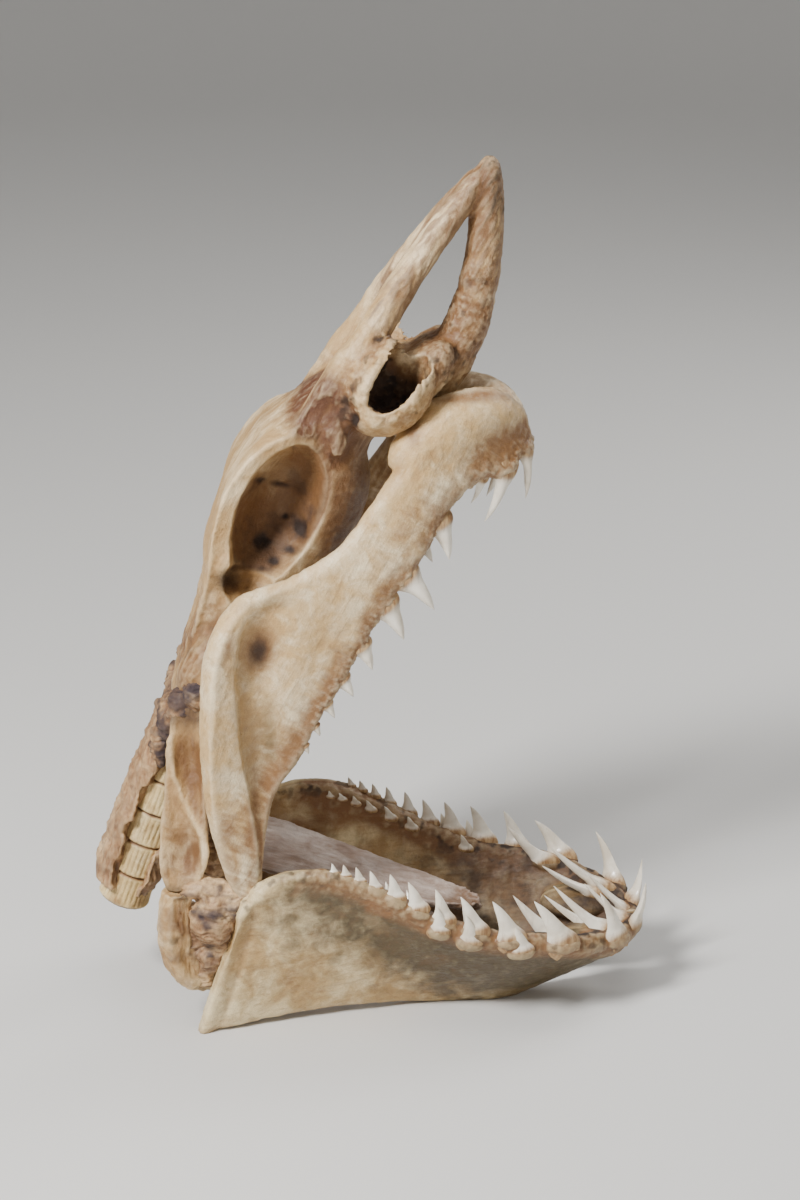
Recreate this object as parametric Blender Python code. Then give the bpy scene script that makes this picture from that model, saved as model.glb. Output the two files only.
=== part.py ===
"""A mako shark's skull, dried whole: the cranium with its three-rod snout, both
jaws with their teeth, the hyoid arch and the first vertebrae.

It stands on the lower edge of its lower jaw with the mouth wide open. Metres, +Z up, +X
towards the chin, and the animal's own right side at -Y. Tables are in millimetres.
"""

import math
import random

import bmesh
import bpy
from mathutils import Matrix, Vector

MM = 0.001

# Driving sizes in millimetres: the whole skull scales with the lower jaw.
LOWER_JAW_LENGTH = 265.0
TABLE_JAW_LENGTH = 265.0
SCALE = MM * LOWER_JAW_LENGTH / TABLE_JAW_LENGTH

# The tables count X from the middle of the orbit's front, and this shift puts the
# origin under the middle of the whole skull.
SHIFT_X = 16.6

# Touching cartilages keep this gap, and the two halves of a jaw keep it at the middle.
GAP = 0.35
FLOOR_Z = 0.0

# The head is raised: its axis climbs at this angle from the back of the skull.
HEAD_PITCH = math.radians(60.0)
HEAD_ORIGIN = Vector((-125.0, 0.0, 185.0))
HEAD_FORWARD = Vector((math.cos(HEAD_PITCH), 0.0, math.sin(HEAD_PITCH)))
HEAD_DORSAL = Vector((-math.sin(HEAD_PITCH), 0.0, math.cos(HEAD_PITCH)))

# Lower jaw, right half, from the back corner to the chin. Each row holds the lower
# edge, the tooth edge, the thickness at the lower edge, the middle and the tooth edge,
# the outward bow of the plate, and the place and height of a ridge on the outer face.
LOWER_JAW = [
    ((-120, -65, -2), (-94, -69, 82), 8, 10, 15, 0, 0.2, 0),
    ((-104, -61, 1), (-83, -68, 97), 9, 8, 17, 1, 0.2, 0),
    ((-76, -51, 3), (-62, -66, 105), 9, 8, 14, 3, 0.2, 0),
    ((-45, -41, 4), (-38, -65, 104), 9, 8, 13, 4, 0.2, 0),
    ((-10, -31, 3), (-10, -65, 92), 9, 8, 13, 4, 0.2, 0),
    ((25, -22, 0), (25, -64, 74), 9, 8, 14, 4, 0.2, 0),
    ((60, -15, -2), (56, -62, 63), 10, 9, 14, 4, 0.2, 0),
    ((88, -9, 8), (86, -58, 58), 11, 9, 14, 4, 0.2, 0),
    ((110, -6, 19), (110, -50, 53), 11, 10, 14, 4, 0.2, 0),
    ((127, -4, 29), (129, -35, 49), 11, 10, 13, 3, 0.2, 0),
    ((136, -2, 35), (141, -16, 47), 10, 10, 11, 2, 0.2, 0),
    ((139, 1, 37), (144, 2, 47), 10, 10, 11, 0, 0.2, 0),
]

# Upper jaw, right half, from the joint to the front: the back edge and the tooth edge.
UPPER_JAW = [
    ((-99, -63, 91), (-81, -62, 85), 12, 12, 11, 0, 0.9, 0),
    ((-109, -66, 126), (-80, -60, 112), 12, 10, 9, 0, 0.9, 3),
    ((-114, -71, 166), (-74, -57, 148), 12, 8, 8, -1, 0.66, 6),
    ((-114, -74, 210), (-59, -54, 172), 12, 7, 9, -2, 0.40, 7),
    ((-109, -72, 249), (-45, -52, 199), 11, 7, 11, -1, 0.25, 6),
    ((-92, -67, 275), (-34, -50, 217), 10, 8, 12, 1, 0.15, 3),
    ((-64, -60, 284), (-19, -48, 244), 10, 9, 13, 3, 0.2, 0),
    ((-37, -54, 299), (-3, -45, 270), 10, 11, 13, 3, 0.2, 0),
    ((-16, -48, 325), (12, -41, 290), 11, 12, 13, 3, 0.2, 0),
    ((2, -42, 352), (27, -34, 317), 14, 15, 14, 3, 0.2, 0),
    ((7, -35, 366), (43, -27, 331), 15, 16, 13, 3, 0.2, 0),
    ((23, -25, 375), (58, -20, 334), 14, 15, 12, 2, 0.2, 0),
    ((44, -13, 378), (70, -10, 341), 13, 15, 11, 1, 0.2, 0),
    ((58, 1, 372), (74, 2, 349), 12, 13, 10, 0, 0.2, 0),
]

# The knob that each upper jaw lifts under the nose: centre, half axes.
PALATINE_KNOB = ((6, -37, 357), (13, 12, 19))

# Cranium sections: place along the head, height of the roof's middle, half width and
# height of the roof's edge, half width of the wall, half width and height of the base.
CRANIUM = [
    (-10, 10, 18, 4, 21, 13, -19),
    (12, 18, 27, 13, 36, 20, -27),
    (45, 26, 33, 22, 45, 25, -32),
    (78, 34, 41, 31, 47, 27, -33),
    (98, 41, 52, 36, 46, 25, -32),
    (118, 46, 50, 43, 44, 23, -31),
    (145, 49, 48, 47, 42, 22, -28),
    (172, 45, 47, 43, 42, 22, -22),
    (192, 37, 46, 34, 42, 23, -19),
    (212, 30, 40, 26, 36, 22, -22),
    (236, 18, 26, 12, 22, 17, -30),
    (256, 0, 14, -8, 15, 11, -37),
]

# Each hollow is an ellipsoid cut from the side: centre as along, out and up the head,
# half axes in the same order, and the turn of its long axis in degrees.
ORBIT = ((146, 60, 13), (43, 44, 27), 8)
NASAL_CAPSULE = ((238, 31, 3), (35, 22, 25), -12)
NASAL_OPENING = ((243, 54, 2), (21, 26, 14), -25)
OTIC_CAPSULE = ((40, 34, 2), (30, 17, 20), 0)
POSTORBITAL = ((103, 42, 20), (11, 9, 14), 15)
PREORBITAL = ((196, 37, 4), (15, 9, 25), 0)

# Snout rods as along, out, up the head and radius.
LATERAL_ROD = [
    (196, 30, 27, 9),
    (225, 30, 25, 10),
    (252, 27, 22, 9.5),
    (277, 22, 21, 9),
    (301, 16, 19, 8.5),
    (327, 10, 16, 8),
    (347, 5, 13, 7),
    (359, 1, 11, 5),
]
MEDIAL_ROD = [
    (232, 0, -20, 12),
    (252, 0, -26, 14),
    (274, 0, -27, 12),
    (298, 0, -22, 10.5),
    (322, 0, -13, 10),
    (342, 0, -2, 10),
    (357, 0, 6, 9),
    (368, 0, 10, 6),
    (372, 0, 11.5, 2),
]

# Backbone: the first centra in a row, from the back of the skull down.
SPINE_TOP = Vector((-122, 0, 178))
SPINE_END = Vector((-166, 0, 57))
CENTRA = 6
CENTRUM_RADIUS = 16.5
CENTRUM_WAIST = 14.6
NEURAL_ARCH = ((-138, 0, 168), (-177, 0, 72), 10.0, 8.0)

# Hyoid arch, right side: the hyomandibula as a hollow-faced plate of back and front
# edges, then the ceratohyal as a bar of centre and radius.
HYOMANDIBULA = [
    ((-132, -42, 204), (-113, -46, 204), 9, 8, 8, 0, 0.2, 0),
    ((-134, -48, 181), (-112, -54, 178), 8, 5, 7, -3, 0.2, 0),
    ((-137, -54, 154), (-112, -60, 151), 7, 5, 7, -4, 0.2, 0),
    ((-140, -58, 126), (-112, -62, 124), 8, 5, 8, -4, 0.2, 0),
    ((-141, -60, 104), (-114, -62, 104), 9, 7, 9, -3, 0.2, 0),
    ((-137, -60, 91), (-119, -61, 92), 10, 10, 9, 0, 0.2, 0),
]
CERATOHYAL = [
    (-131, -61, 90, 9),
    (-133, -62, 72, 10),
    (-131, -61, 50, 10),
    (-121, -57, 33, 9),
    (-100, -46, 33, 7.5),
    (-70, -34, 50, 7),
    (-40, -27, 60, 6.5),
    (-10, -18, 57, 6),
    (16, -10, 52, 5),
]

# Tongue plate: place along X, half width, height and thickness.
TONGUE = [
    (-92, 37, 96, 4),
    (-70, 38, 90, 5),
    (-40, 35, 79, 6),
    (-10, 28, 70, 6),
    (20, 19, 62, 6),
    (40, 11, 57, 5),
    (49, 4, 55, 3),
]
TONGUE_DIP = 5.0

# Dried tissue that binds each jaw joint: lumps of centre and half axes.
JOINT_TISSUE = [
    ((-108, -65, 76), (17, 12, 19)),
    ((-95, -69, 84), (15, 10, 14)),
    ((-112, -61, 54), (12, 9, 14)),
]

# Teeth, from the front back: X of the root on the tooth edge, crown height, root width,
# lean towards the front in degrees and outward lean in degrees.
LOWER_TEETH = [
    (142, 28, 14, 20, 12),
    (129, 33, 16, -8, 16),
    (95, 30, 18, -26, 10),
    (65, 25, 17, -14, 8),
    (44, 23, 16, -12, 8),
    (25, 20, 15, -8, 7),
    (10, 16, 13, -6, 6),
    (-3, 14, 12, -4, 5),
    (-15, 11, 10, -4, 5),
    (-24, 8.5, 8, -4, 4),
    (-32, 6.5, 7, -4, 3),
    (-39, 5.5, 6, -4, 2),
]
UPPER_TEETH = [
    (71, 28, 13, 12, 10),
    (59, 31, 15, -10, 8),
    (46, 16, 9, -14, 4),
    (22, 22, 17, 26, 4),
    (4, 25, 19, 44, 4),
    (-8, 23, 19, 38, 4),
    (-22, 16, 15, 34, 3),
    (-33, 12, 12, 36, 3),
    (-42, 9, 9, 32, 2),
    (-49, 6.5, 7, 30, 2),
    (-55, 5, 6, 28, 0),
]
ROOT_SHARE = 0.28
TOOTH_BEND = 0.16
TOOTH_SIDES = 6
# The left tooth row of the lower jaw sits this much further forward and higher in front.
LEFT_ROW_FORWARD = 8.0
LEFT_ROW_LIFT = 4.0
# Replacement teeth lie inside the front of the lower jaw with their tips to the back:
# index of the tooth they follow, row, size against it. They stand on a pad of gum.
LOWER_RESERVE = [(0, 1, 1.0), (1, 1, 1.1), (1, 2, 1.0), (2, 1, 0.95)]
RESERVE_STEP = 9.0
RESERVE_LEAN = 50.0
RESERVE_LEAN_STEP = 14.0
GUM_PAD = ((112, -27, 41), (25, 17, 10))
SIZE_SPREAD = 0.06
TURN_SPREAD = 4.0

# The share of a plate's height over which its ridge falls away.
RIDGE_FALL = 0.34

# Fineness of the solids.
BLADE_POINTS = 7
BLADE_RINGS = 26
ROD_SIDES = 10
ROD_RINGS = 15
CRANIUM_HALF_POINTS = 9
CRANIUM_RINGS = 22

MATERIALS = {
    "cartilage": ((0.72, 0.61, 0.44, 1.0), 0.55),
    "jaw": ((0.78, 0.69, 0.53, 1.0), 0.5),
    "tongue": ((0.50, 0.45, 0.40, 1.0), 0.6),
    "tissue": ((0.42, 0.31, 0.22, 1.0), 0.7),
    "vertebra": ((0.80, 0.71, 0.52, 1.0), 0.6),
}


def clear_scene():
    for obj in list(bpy.data.objects):
        bpy.data.objects.remove(obj, do_unlink=True)


def collection(name, hidden=False):
    made = bpy.data.collections.new(name)
    made.hide_render = hidden
    bpy.context.scene.collection.children.link(made)
    return made


def material(name):
    colour, roughness = MATERIALS[name]
    made = bpy.data.materials.get(name)
    if made is None:
        made = bpy.data.materials.new(name)
        made.use_nodes = True
        shader = made.node_tree.nodes["Principled BSDF"]
        shader.inputs["Base Color"].default_value = colour
        shader.inputs["Roughness"].default_value = roughness
        shader.inputs["Metallic"].default_value = 0.0
    return made


def place(point):
    """A table point in millimetres as a point of the scene in metres."""
    return Vector((point[0] + SHIFT_X, point[1], point[2])) * SCALE


def head_point(along, out, up):
    """A point given along, out from and up the raised head, in table millimetres."""
    return HEAD_ORIGIN + HEAD_FORWARD * along + HEAD_DORSAL * up + Vector((0, -out, 0))


def flat_row(row):
    """A table row as one list of numbers."""
    numbers = []
    for value in row:
        numbers.extend(value if isinstance(value, (tuple, list, Vector)) else [value])
    return [float(v) for v in numbers]


def spline(rows, t):
    """The Catmull-Rom value of a table of number rows, with t from 0 to len(rows) - 1."""
    last = len(rows) - 1
    i = min(int(t), last - 1)
    f = t - i
    before, here = rows[max(i - 1, 0)], rows[i]
    ahead, after = rows[i + 1], rows[min(i + 2, last)]
    return [
        0.5 * (2 * b + (c - a) * f + (2 * a - 5 * b + 4 * c - d) * f * f
               + (3 * b - a - 3 * c + d) * f ** 3)
        for a, b, c, d in zip(before, here, ahead, after)
    ]


def mesh_object(name, points, faces, group):
    mesh = bpy.data.meshes.new(name)
    mesh.from_pydata([tuple(p) for p in points], [], faces)
    shape = bmesh.new()
    shape.from_mesh(mesh)
    bmesh.ops.recalc_face_normals(shape, faces=shape.faces)
    bmesh.ops.triangulate(shape, faces=shape.faces)
    if shape.calc_volume(signed=True) < 0:
        bmesh.ops.reverse_faces(shape, faces=shape.faces)
    shape.to_mesh(mesh)
    shape.free()
    obj = bpy.data.objects.new(name, mesh)
    group.objects.link(obj)
    return obj


def loft(name, rings, group):
    """A closed body through rings of equal point counts, with a fan on each end."""
    sides = len(rings[0])
    points = [p for ring in rings for p in ring]
    faces = []
    for r in range(len(rings) - 1):
        for k in range(sides):
            a, b = r * sides + k, r * sides + (k + 1) % sides
            faces.append((a, b, b + sides, a + sides))
    for ring, start in ((rings[0], 0), (rings[-1], (len(rings) - 1) * sides)):
        centre = len(points)
        points.append(sum(ring, Vector()) / sides)
        faces.extend((start + k, start + (k + 1) % sides, centre) for k in range(sides))
    return mesh_object(name, points, faces, group)


def mirrored(point, side):
    """The point on the animal's right for side -1, and on its left for side 1."""
    return Vector((point[0], point[1] * -side, point[2]))


def blade_frame(rows, t):
    """The values of a blade's table at t, with its chord, outward normal and run."""
    step = 0.05
    values = spline(rows, t)
    low = spline(rows, max(t - step, 0))
    high = spline(rows, min(t + step, len(rows) - 1))
    a, b = Vector(values[:3]), Vector(values[3:6])
    run = (Vector(high[:3]) + Vector(high[3:6])) - (Vector(low[:3]) + Vector(low[3:6]))
    chord = b - a
    normal = run.cross(chord).normalized()
    return values, chord, normal, run.normalized()


def end_round(c, radius):
    """The share of the full thickness at c from a rounded edge."""
    if c >= radius:
        return 1.0
    return math.sqrt(max(0.0, 1 - (1 - c / radius) ** 2))


def blade_ring(rows, t, side, outward, grow, shift=0.0):
    """One closed section of a blade: its outer face from edge a to b, and back inside."""
    values, chord, normal, run = blade_frame(rows, t)
    normal = normal * outward
    a, b = Vector(values[:3]), Vector(values[3:6])
    thick_a, thick_mid, thick_b, bow, ridge_at, ridge_high = values[6:]
    length = chord.length
    along = chord / length
    radius_a = min(0.45, max(0.06, 0.5 * thick_a / length))
    radius_b = min(0.45, max(0.06, 0.5 * thick_b / length))
    outer, inner = [], []
    for k in range(BLADE_POINTS + 1):
        c = 0.5 * (1 - math.cos(math.pi * k / BLADE_POINTS))
        thick = (thick_a * (1 - c) * (1 - 2 * c) + thick_mid * 4 * c * (1 - c)
                 + thick_b * c * (2 * c - 1))
        half = 0.5 * thick * end_round(c, radius_a) * end_round(1 - c, radius_b)
        rise = min(max((c - ridge_at) / RIDGE_FALL + 0.5, 0.0), 1.0)
        ridge = ridge_high * (1 - rise * rise * (3 - 2 * rise)) * min(1.0, c / 0.06)
        middle = a + along * (c * (length + 2 * grow) - grow) + run * shift
        offset = bow * 4 * c * (1 - c)
        outer.append(middle + normal * (offset + half + ridge + grow))
        inner.append(middle + normal * (offset - half - grow))
    ring = outer + inner[::-1]
    if grow == 0.0:
        ring = outer + inner[-2:0:-1]
    return [place(mirrored(p, side)) for p in ring]


def blade(name, rows, side, outward, group, rings=BLADE_RINGS, grow=0.0):
    table = [flat_row(row) for row in rows]
    last = len(table) - 1
    places = [last * k / (rings - 1) for k in range(rings)]
    made = []
    for k, t in enumerate(places):
        shift = -grow if k == 0 else grow if k == rings - 1 else 0.0
        made.append(blade_ring(table, t, side, outward, grow, shift))
    return loft(name, made, group)


def rod_points(rows, count):
    table = [flat_row(row) for row in rows]
    last = len(table) - 1
    return [spline(table, last * k / (count - 1)) for k in range(count)]


def tube(name, stations, side, group, sides=ROD_SIDES, grow=0.0, flat=1.0):
    """A round bar through centres and radii, each ring square to the bar's run."""
    rings = []
    centres = [Vector(s[:3]) for s in stations]
    for k, station in enumerate(stations):
        ahead, behind = centres[min(k + 1, len(centres) - 1)], centres[max(k - 1, 0)]
        run = (ahead - behind).normalized()
        across = run.cross(Vector((0, 1, 0))).normalized()
        over = across.cross(run).normalized()
        shift = -grow if k == 0 else grow if k == len(stations) - 1 else 0.0
        radius = station[3] + grow
        ring = []
        for i in range(sides):
            turn = 2 * math.pi * i / sides
            offset = across * math.cos(turn) + over * (math.sin(turn) * flat)
            ring.append(place(mirrored(centres[k] + run * shift + offset * radius, side)))
        rings.append(ring)
    return loft(name, rings, group)


def head_tube(name, rows, side, group, grow=0.0):
    """A rod of the snout, from its table along the head."""
    stations = []
    for along, out, up, radius in rod_points(rows, ROD_RINGS):
        stations.append([*head_point(along, out, up), radius])
    return tube(name, stations, side, group, grow=grow)


def ellipsoid(name, matrix, group, segments=14, rings=8):
    """A sphere of radius one taken through a matrix in metres."""
    shape = bmesh.new()
    bmesh.ops.create_uvsphere(shape, u_segments=segments, v_segments=rings, radius=1.0)
    bmesh.ops.transform(shape, matrix=matrix, verts=shape.verts)
    if matrix.determinant() < 0:
        bmesh.ops.reverse_faces(shape, faces=shape.faces)
    bmesh.ops.triangulate(shape, faces=shape.faces)
    mesh = bpy.data.meshes.new(name)
    shape.to_mesh(mesh)
    shape.free()
    obj = bpy.data.objects.new(name, mesh)
    group.objects.link(obj)
    return obj


def head_ellipsoid(name, sizes, side, group, grow=0.0, segments=18, rings=10):
    """An ellipsoid set in the head's own directions on one side."""
    centre, axes, turn = sizes
    lean = math.radians(turn)
    forward = HEAD_FORWARD * math.cos(lean) + HEAD_DORSAL * math.sin(lean)
    upward = HEAD_DORSAL * math.cos(lean) - HEAD_FORWARD * math.sin(lean)
    middle = place(mirrored(head_point(*centre), side))
    columns = (forward * (axes[0] + grow), Vector((0, 1, 0)) * (axes[1] + grow),
               upward * (axes[2] + grow))
    matrix = Matrix([[c[i] * SCALE for c in columns] + [middle[i]] for i in range(3)]
                    + [[0, 0, 0, 1]])
    return ellipsoid(name, matrix, group, segments, rings)


def table_ellipsoid(name, centre, axes, side, group, grow=0.0, segments=12, rings=7):
    """An ellipsoid along the scene's own axes."""
    middle = place(mirrored(centre, side))
    scale = Matrix.Diagonal([(a + grow) * SCALE for a in axes] + [1.0])
    return ellipsoid(name, Matrix.Translation(middle) @ scale, group, segments, rings)


def cranium_ring(values, grow):
    """One section of the cranium, from the middle of the roof round to the base."""
    along, roof, edge_out, edge_up, wall, base_out, base_up = values
    corners = [
        (0, roof + grow),
        (0.55 * edge_out, roof + 0.35 * (edge_up - roof) + grow),
        (edge_out + grow, edge_up + grow),
        (edge_out + grow, edge_up - 5),
        (wall + grow, 0.55 * edge_up + 0.45 * base_up),
        (0.5 * (wall + base_out) + grow, 0.2 * edge_up + 0.8 * base_up),
        (base_out + grow, base_up + 3),
        (0.5 * base_out, base_up - 1 - grow),
        (0, base_up - 2 - grow),
    ]
    half = [spline(corners, (len(corners) - 1) * k / (CRANIUM_HALF_POINTS + 3))
            for k in range(CRANIUM_HALF_POINTS + 4)]
    whole = half + [(-out, up) for out, up in half[-2:0:-1]]
    return [place(head_point(along, out, up)) for out, up in whole]


def cranium_body(name, group, grow=0.0):
    table = [flat_row(row) for row in CRANIUM]
    last = len(table) - 1
    rings = []
    for k in range(CRANIUM_RINGS):
        values = spline(table, last * k / (CRANIUM_RINGS - 1))
        if k == 0:
            values[0] -= grow
        if k == CRANIUM_RINGS - 1:
            values[0] += grow
        rings.append(cranium_ring(values, grow))
    return loft(name, rings, group)


def boolean(obj, operation, operand, solver="MANIFOLD"):
    """Applies one Boolean with an object or a collection, then drops the operand."""
    modifier = obj.modifiers.new(operation.lower(), "BOOLEAN")
    modifier.operation = operation
    modifier.solver = solver
    if isinstance(operand, bpy.types.Collection):
        modifier.operand_type = "COLLECTION"
        modifier.collection = operand
    else:
        modifier.object = operand
    graph = bpy.context.evaluated_depsgraph_get()
    mesh = bpy.data.meshes.new_from_object(obj.evaluated_get(graph))
    obj.modifiers.clear()
    obj.data = mesh
    return obj


def drop(group):
    for obj in list(group.objects):
        bpy.data.objects.remove(obj, do_unlink=True)
    bpy.data.collections.remove(group)


def fuse(obj, pieces):
    """Joins a collection of closed pieces to the object and removes them."""
    boolean(obj, "UNION", pieces)
    drop(pieces)
    return keep_largest(obj)


def cut(obj, cutters):
    """Cuts a collection of closed cutters from the object and removes them."""
    for cutter in list(cutters.objects):
        boolean(obj, "DIFFERENCE", cutter)
    drop(cutters)
    return keep_largest(obj)


def keep_largest(obj):
    """Leaves only the largest closed surface of the object."""
    shape = bmesh.new()
    shape.from_mesh(obj.data)
    waiting = set(shape.verts)
    islands = []
    while waiting:
        stack = [waiting.pop()]
        found = set(stack)
        while stack:
            for edge in stack.pop().link_edges:
                for vertex in edge.verts:
                    if vertex in waiting:
                        waiting.discard(vertex)
                        found.add(vertex)
                        stack.append(vertex)
        islands.append(found)
    islands.sort(key=spread, reverse=True)
    for found in islands[1:]:
        bmesh.ops.delete(shape, geom=list(found), context="VERTS")
    shape.to_mesh(obj.data)
    shape.free()
    return obj


def spread(vertices):
    """The diagonal of the box round some vertices."""
    places = [v.co for v in vertices]
    return sum(max(p[i] for p in places) - min(p[i] for p in places) for i in range(3))


def slice_off(obj, point, normal):
    """Removes what lies beyond a plane, and closes the body there with a flat."""
    shape = bmesh.new()
    shape.from_mesh(obj.data)
    geometry = shape.verts[:] + shape.edges[:] + shape.faces[:]
    cut_edges = bmesh.ops.bisect_plane(shape, geom=geometry, plane_co=point,
                                       plane_no=normal, clear_outer=True, dist=1e-7)
    rim = [e for e in cut_edges["geom_cut"] if isinstance(e, bmesh.types.BMEdge)]
    if rim:
        filled = bmesh.ops.triangle_fill(shape, edges=rim, use_beauty=True)
        bmesh.ops.recalc_face_normals(shape, faces=shape.faces)
        del filled
    shape.to_mesh(obj.data)
    shape.free()
    return obj


def finish(obj, name, slot, home):
    """Names a finished node, gives it its material and puts it in the part's collection."""
    obj.name = name
    obj.data.name = name
    obj.data.materials.clear()
    obj.data.materials.append(material(slot))
    for group in list(obj.users_collection):
        group.objects.unlink(obj)
    home.objects.link(obj)
    obj.data.shade_smooth()
    obj.data.set_sharp_from_angle(angle=math.radians(40))
    return obj


def tooth(name, root, crown, across, bend, height, width, group, sides=TOOTH_SIDES):
    """A tooth in table millimetres, from a root sunk in the jaw to its recurved tip."""
    crown = crown.normalized()
    across = (across - crown * across.dot(crown)).normalized()
    through = crown.cross(across).normalized()
    slender = min(1.0, 2.0 * width / height)
    profile = [(-ROOT_SHARE, 0.80, 0.50), (0.02, 1.0, 0.52), (0.18, 0.62 * slender, 0.42),
               (0.48, 0.46 * slender, 0.34), (0.78, 0.25 * slender, 0.22), (1.0, 0.02, 0.02)]
    rings = []
    for rise, wide, thick in profile:
        middle = root + crown * (rise * height)
        middle += bend * (TOOTH_BEND * height * max(rise, 0.0) ** 2)
        ring = []
        for k in range(sides):
            turn = 2 * math.pi * k / sides
            ring.append(place(middle + across * (0.5 * width * wide * math.cos(turn))
                              + through * (0.5 * width * thick * math.sin(turn))))
        rings.append(ring)
    return loft(name, rings, group)


def edge_place(rows, x):
    """Where on a blade's table its tooth edge is at this X."""
    table = [flat_row(row) for row in rows]
    low, high = 0.0, len(table) - 1.0
    for _ in range(30):
        middle = 0.5 * (low + high)
        if spline(table, middle)[3] < x:
            low = middle
        else:
            high = middle
    return table, low


def row_of_teeth(rows, teeth, side, up, draw, group, forward=0.0):
    """One tooth for each row of the teeth table, set on the blade's tooth edge."""
    for index, (x, height, width, lean, splay) in enumerate(teeth):
        table, t = edge_place(rows, x + forward * min(1.0, index / 3))
        values, chord, normal, run = blade_frame(table, t)
        size = 1 + draw.uniform(-SIZE_SPREAD, SIZE_SPREAD)
        tilt = math.radians(lean + draw.uniform(-TURN_SPREAD, TURN_SPREAD))
        out = math.radians(splay)
        crown = Vector((math.sin(tilt), -math.sin(out), up * math.cos(tilt)))
        root = Vector(values[3:6]) - chord.normalized() * 2.0
        bend = Vector((-0.7 * math.cos(tilt), 0.5, 0.7 * up * math.sin(tilt)))
        tooth(f"tooth_{index}", mirrored(root, side), mirrored(crown, side),
              mirrored(run, side), mirrored(bend, side), height * size, width * size, group,
              TOOTH_SIDES if height > 10 else TOOTH_SIDES - 1)


def reserve_teeth(rows, side, draw, group):
    """Replacement teeth inside the lower jaw's front, tips to the back."""
    for number, (index, row, size) in enumerate(LOWER_RESERVE):
        x, height, width, _, _ = LOWER_TEETH[index]
        table, t = edge_place(rows, x)
        values, chord, normal, run = blade_frame(table, t)
        inward = Vector((-0.6, 0.8, 0.0))
        root = Vector(values[3:6]) + inward * (RESERVE_STEP * row) + Vector((0, 0, -1.5 * row))
        lean = math.radians(RESERVE_LEAN + RESERVE_LEAN_STEP * (row - 1)
                            + draw.uniform(-TURN_SPREAD, TURN_SPREAD))
        crown = Vector((-math.sin(lean), 0.12, math.cos(lean)))
        bend = Vector((-0.5 * math.cos(lean), 0.1, 0.9))
        tooth(f"reserve_{number}", mirrored(root, side), mirrored(crown, side),
              mirrored(run, side), mirrored(bend, side), height * size, width * size * 0.9,
              group)


def lower_rows(side):
    """The lower jaw's table, with the front of the left tooth edge a little higher."""
    if side < 0:
        return LOWER_JAW
    rows = []
    for low, high, *rest in LOWER_JAW:
        lift = LEFT_ROW_LIFT * min(max((high[0] - 20) / 60, 0), 1)
        if high[0] > 130:
            lift *= 0.5
        rows.append((low, (high[0], high[1], high[2] + lift), *rest))
    return rows


def lower_jaw(side, name, home):
    draw = random.Random(11 + side)
    work = collection("work")
    rows = lower_rows(side)
    jaw = blade(name, rows, side, -1, work)
    teeth = collection("teeth")
    forward = LEFT_ROW_FORWARD if side > 0 else 0.0
    row_of_teeth(rows, LOWER_TEETH, side, 1, draw, teeth, forward)
    reserve_teeth(rows, side, draw, teeth)
    table_ellipsoid("gum", *GUM_PAD, side, teeth)
    fuse(jaw, teeth)
    slice_off(jaw, Vector((0, side * 0.5 * GAP * SCALE, 0)), Vector((0, -side, 0)))
    slice_off(jaw, Vector((0, 0, FLOOR_Z)), Vector((0, 0, -1)))
    keep_largest(jaw)
    finish(jaw, name, "jaw", home)
    drop(work)
    return jaw


def upper_jaw(side, name, home):
    draw = random.Random(29 + side)
    work = collection("work")
    jaw = blade(name, UPPER_JAW, side, -1, work, rings=30)
    parts = collection("teeth")
    row_of_teeth(UPPER_JAW, UPPER_TEETH, side, -1, draw, parts)
    centre, axes = PALATINE_KNOB
    table_ellipsoid("knob", centre, axes, side, parts)
    fuse(jaw, parts)
    slice_off(jaw, Vector((0, side * 0.5 * GAP * SCALE, 0)), Vector((0, -side, 0)))
    cutters = collection("cutters", hidden=True)
    cranium_pieces(cutters, GAP)
    blade("lower", lower_rows(side), side, -1, cutters, grow=GAP)
    cut(jaw, cutters)
    finish(jaw, name, "jaw", home)
    drop(work)
    return jaw


def cranium_pieces(group, grow=0.0):
    """The closed forms whose union is the cranium before its hollows are cut."""
    cranium_body("body", group, grow)
    for side in (-1, 1):
        head_ellipsoid("nasal", NASAL_CAPSULE, side, group, grow, 18, 10)
        head_ellipsoid("otic", OTIC_CAPSULE, side, group, grow, 12, 7)
        head_ellipsoid("post", POSTORBITAL, side, group, grow, 10, 6)
        head_ellipsoid("pre", PREORBITAL, side, group, grow, 10, 7)


def cranium(home):
    work = collection("work")
    body = cranium_body("cranium", work)
    pieces = collection("pieces")
    cranium_pieces(pieces)
    bpy.data.objects.remove(pieces.objects[0], do_unlink=True)
    fuse(body, pieces)
    cutters = collection("cutters", hidden=True)
    for side in (-1, 1):
        head_ellipsoid("orbit", ORBIT, side, cutters, 0.0, 20, 12)
        head_ellipsoid("nostril", NASAL_OPENING, side, cutters, 0.0, 14, 8)
    cut(body, cutters)
    finish(body, "cranium", "cartilage", home)
    drop(work)
    return body


def snout_rods(home):
    work = collection("work")
    medial = head_tube("rostrum_medial", MEDIAL_ROD, -1, work)
    cutters = collection("cutters", hidden=True)
    cranium_pieces(cutters, GAP)
    cut(medial, cutters)
    finish(medial, "rostrum_medial", "cartilage", home)
    for side, name in ((-1, "rostrum_lateral_right"), (1, "rostrum_lateral_left")):
        rod = head_tube(name, LATERAL_ROD, side, work)
        cutters = collection("cutters", hidden=True)
        cranium_pieces(cutters, GAP)
        head_tube("medial", MEDIAL_ROD, -1, cutters, grow=GAP)
        cut(rod, cutters)
        slice_off(rod, Vector((0, side * 0.5 * GAP * SCALE, 0)), Vector((0, -side, 0)))
        keep_largest(rod)
        finish(rod, name, "cartilage", home)
    drop(work)


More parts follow.
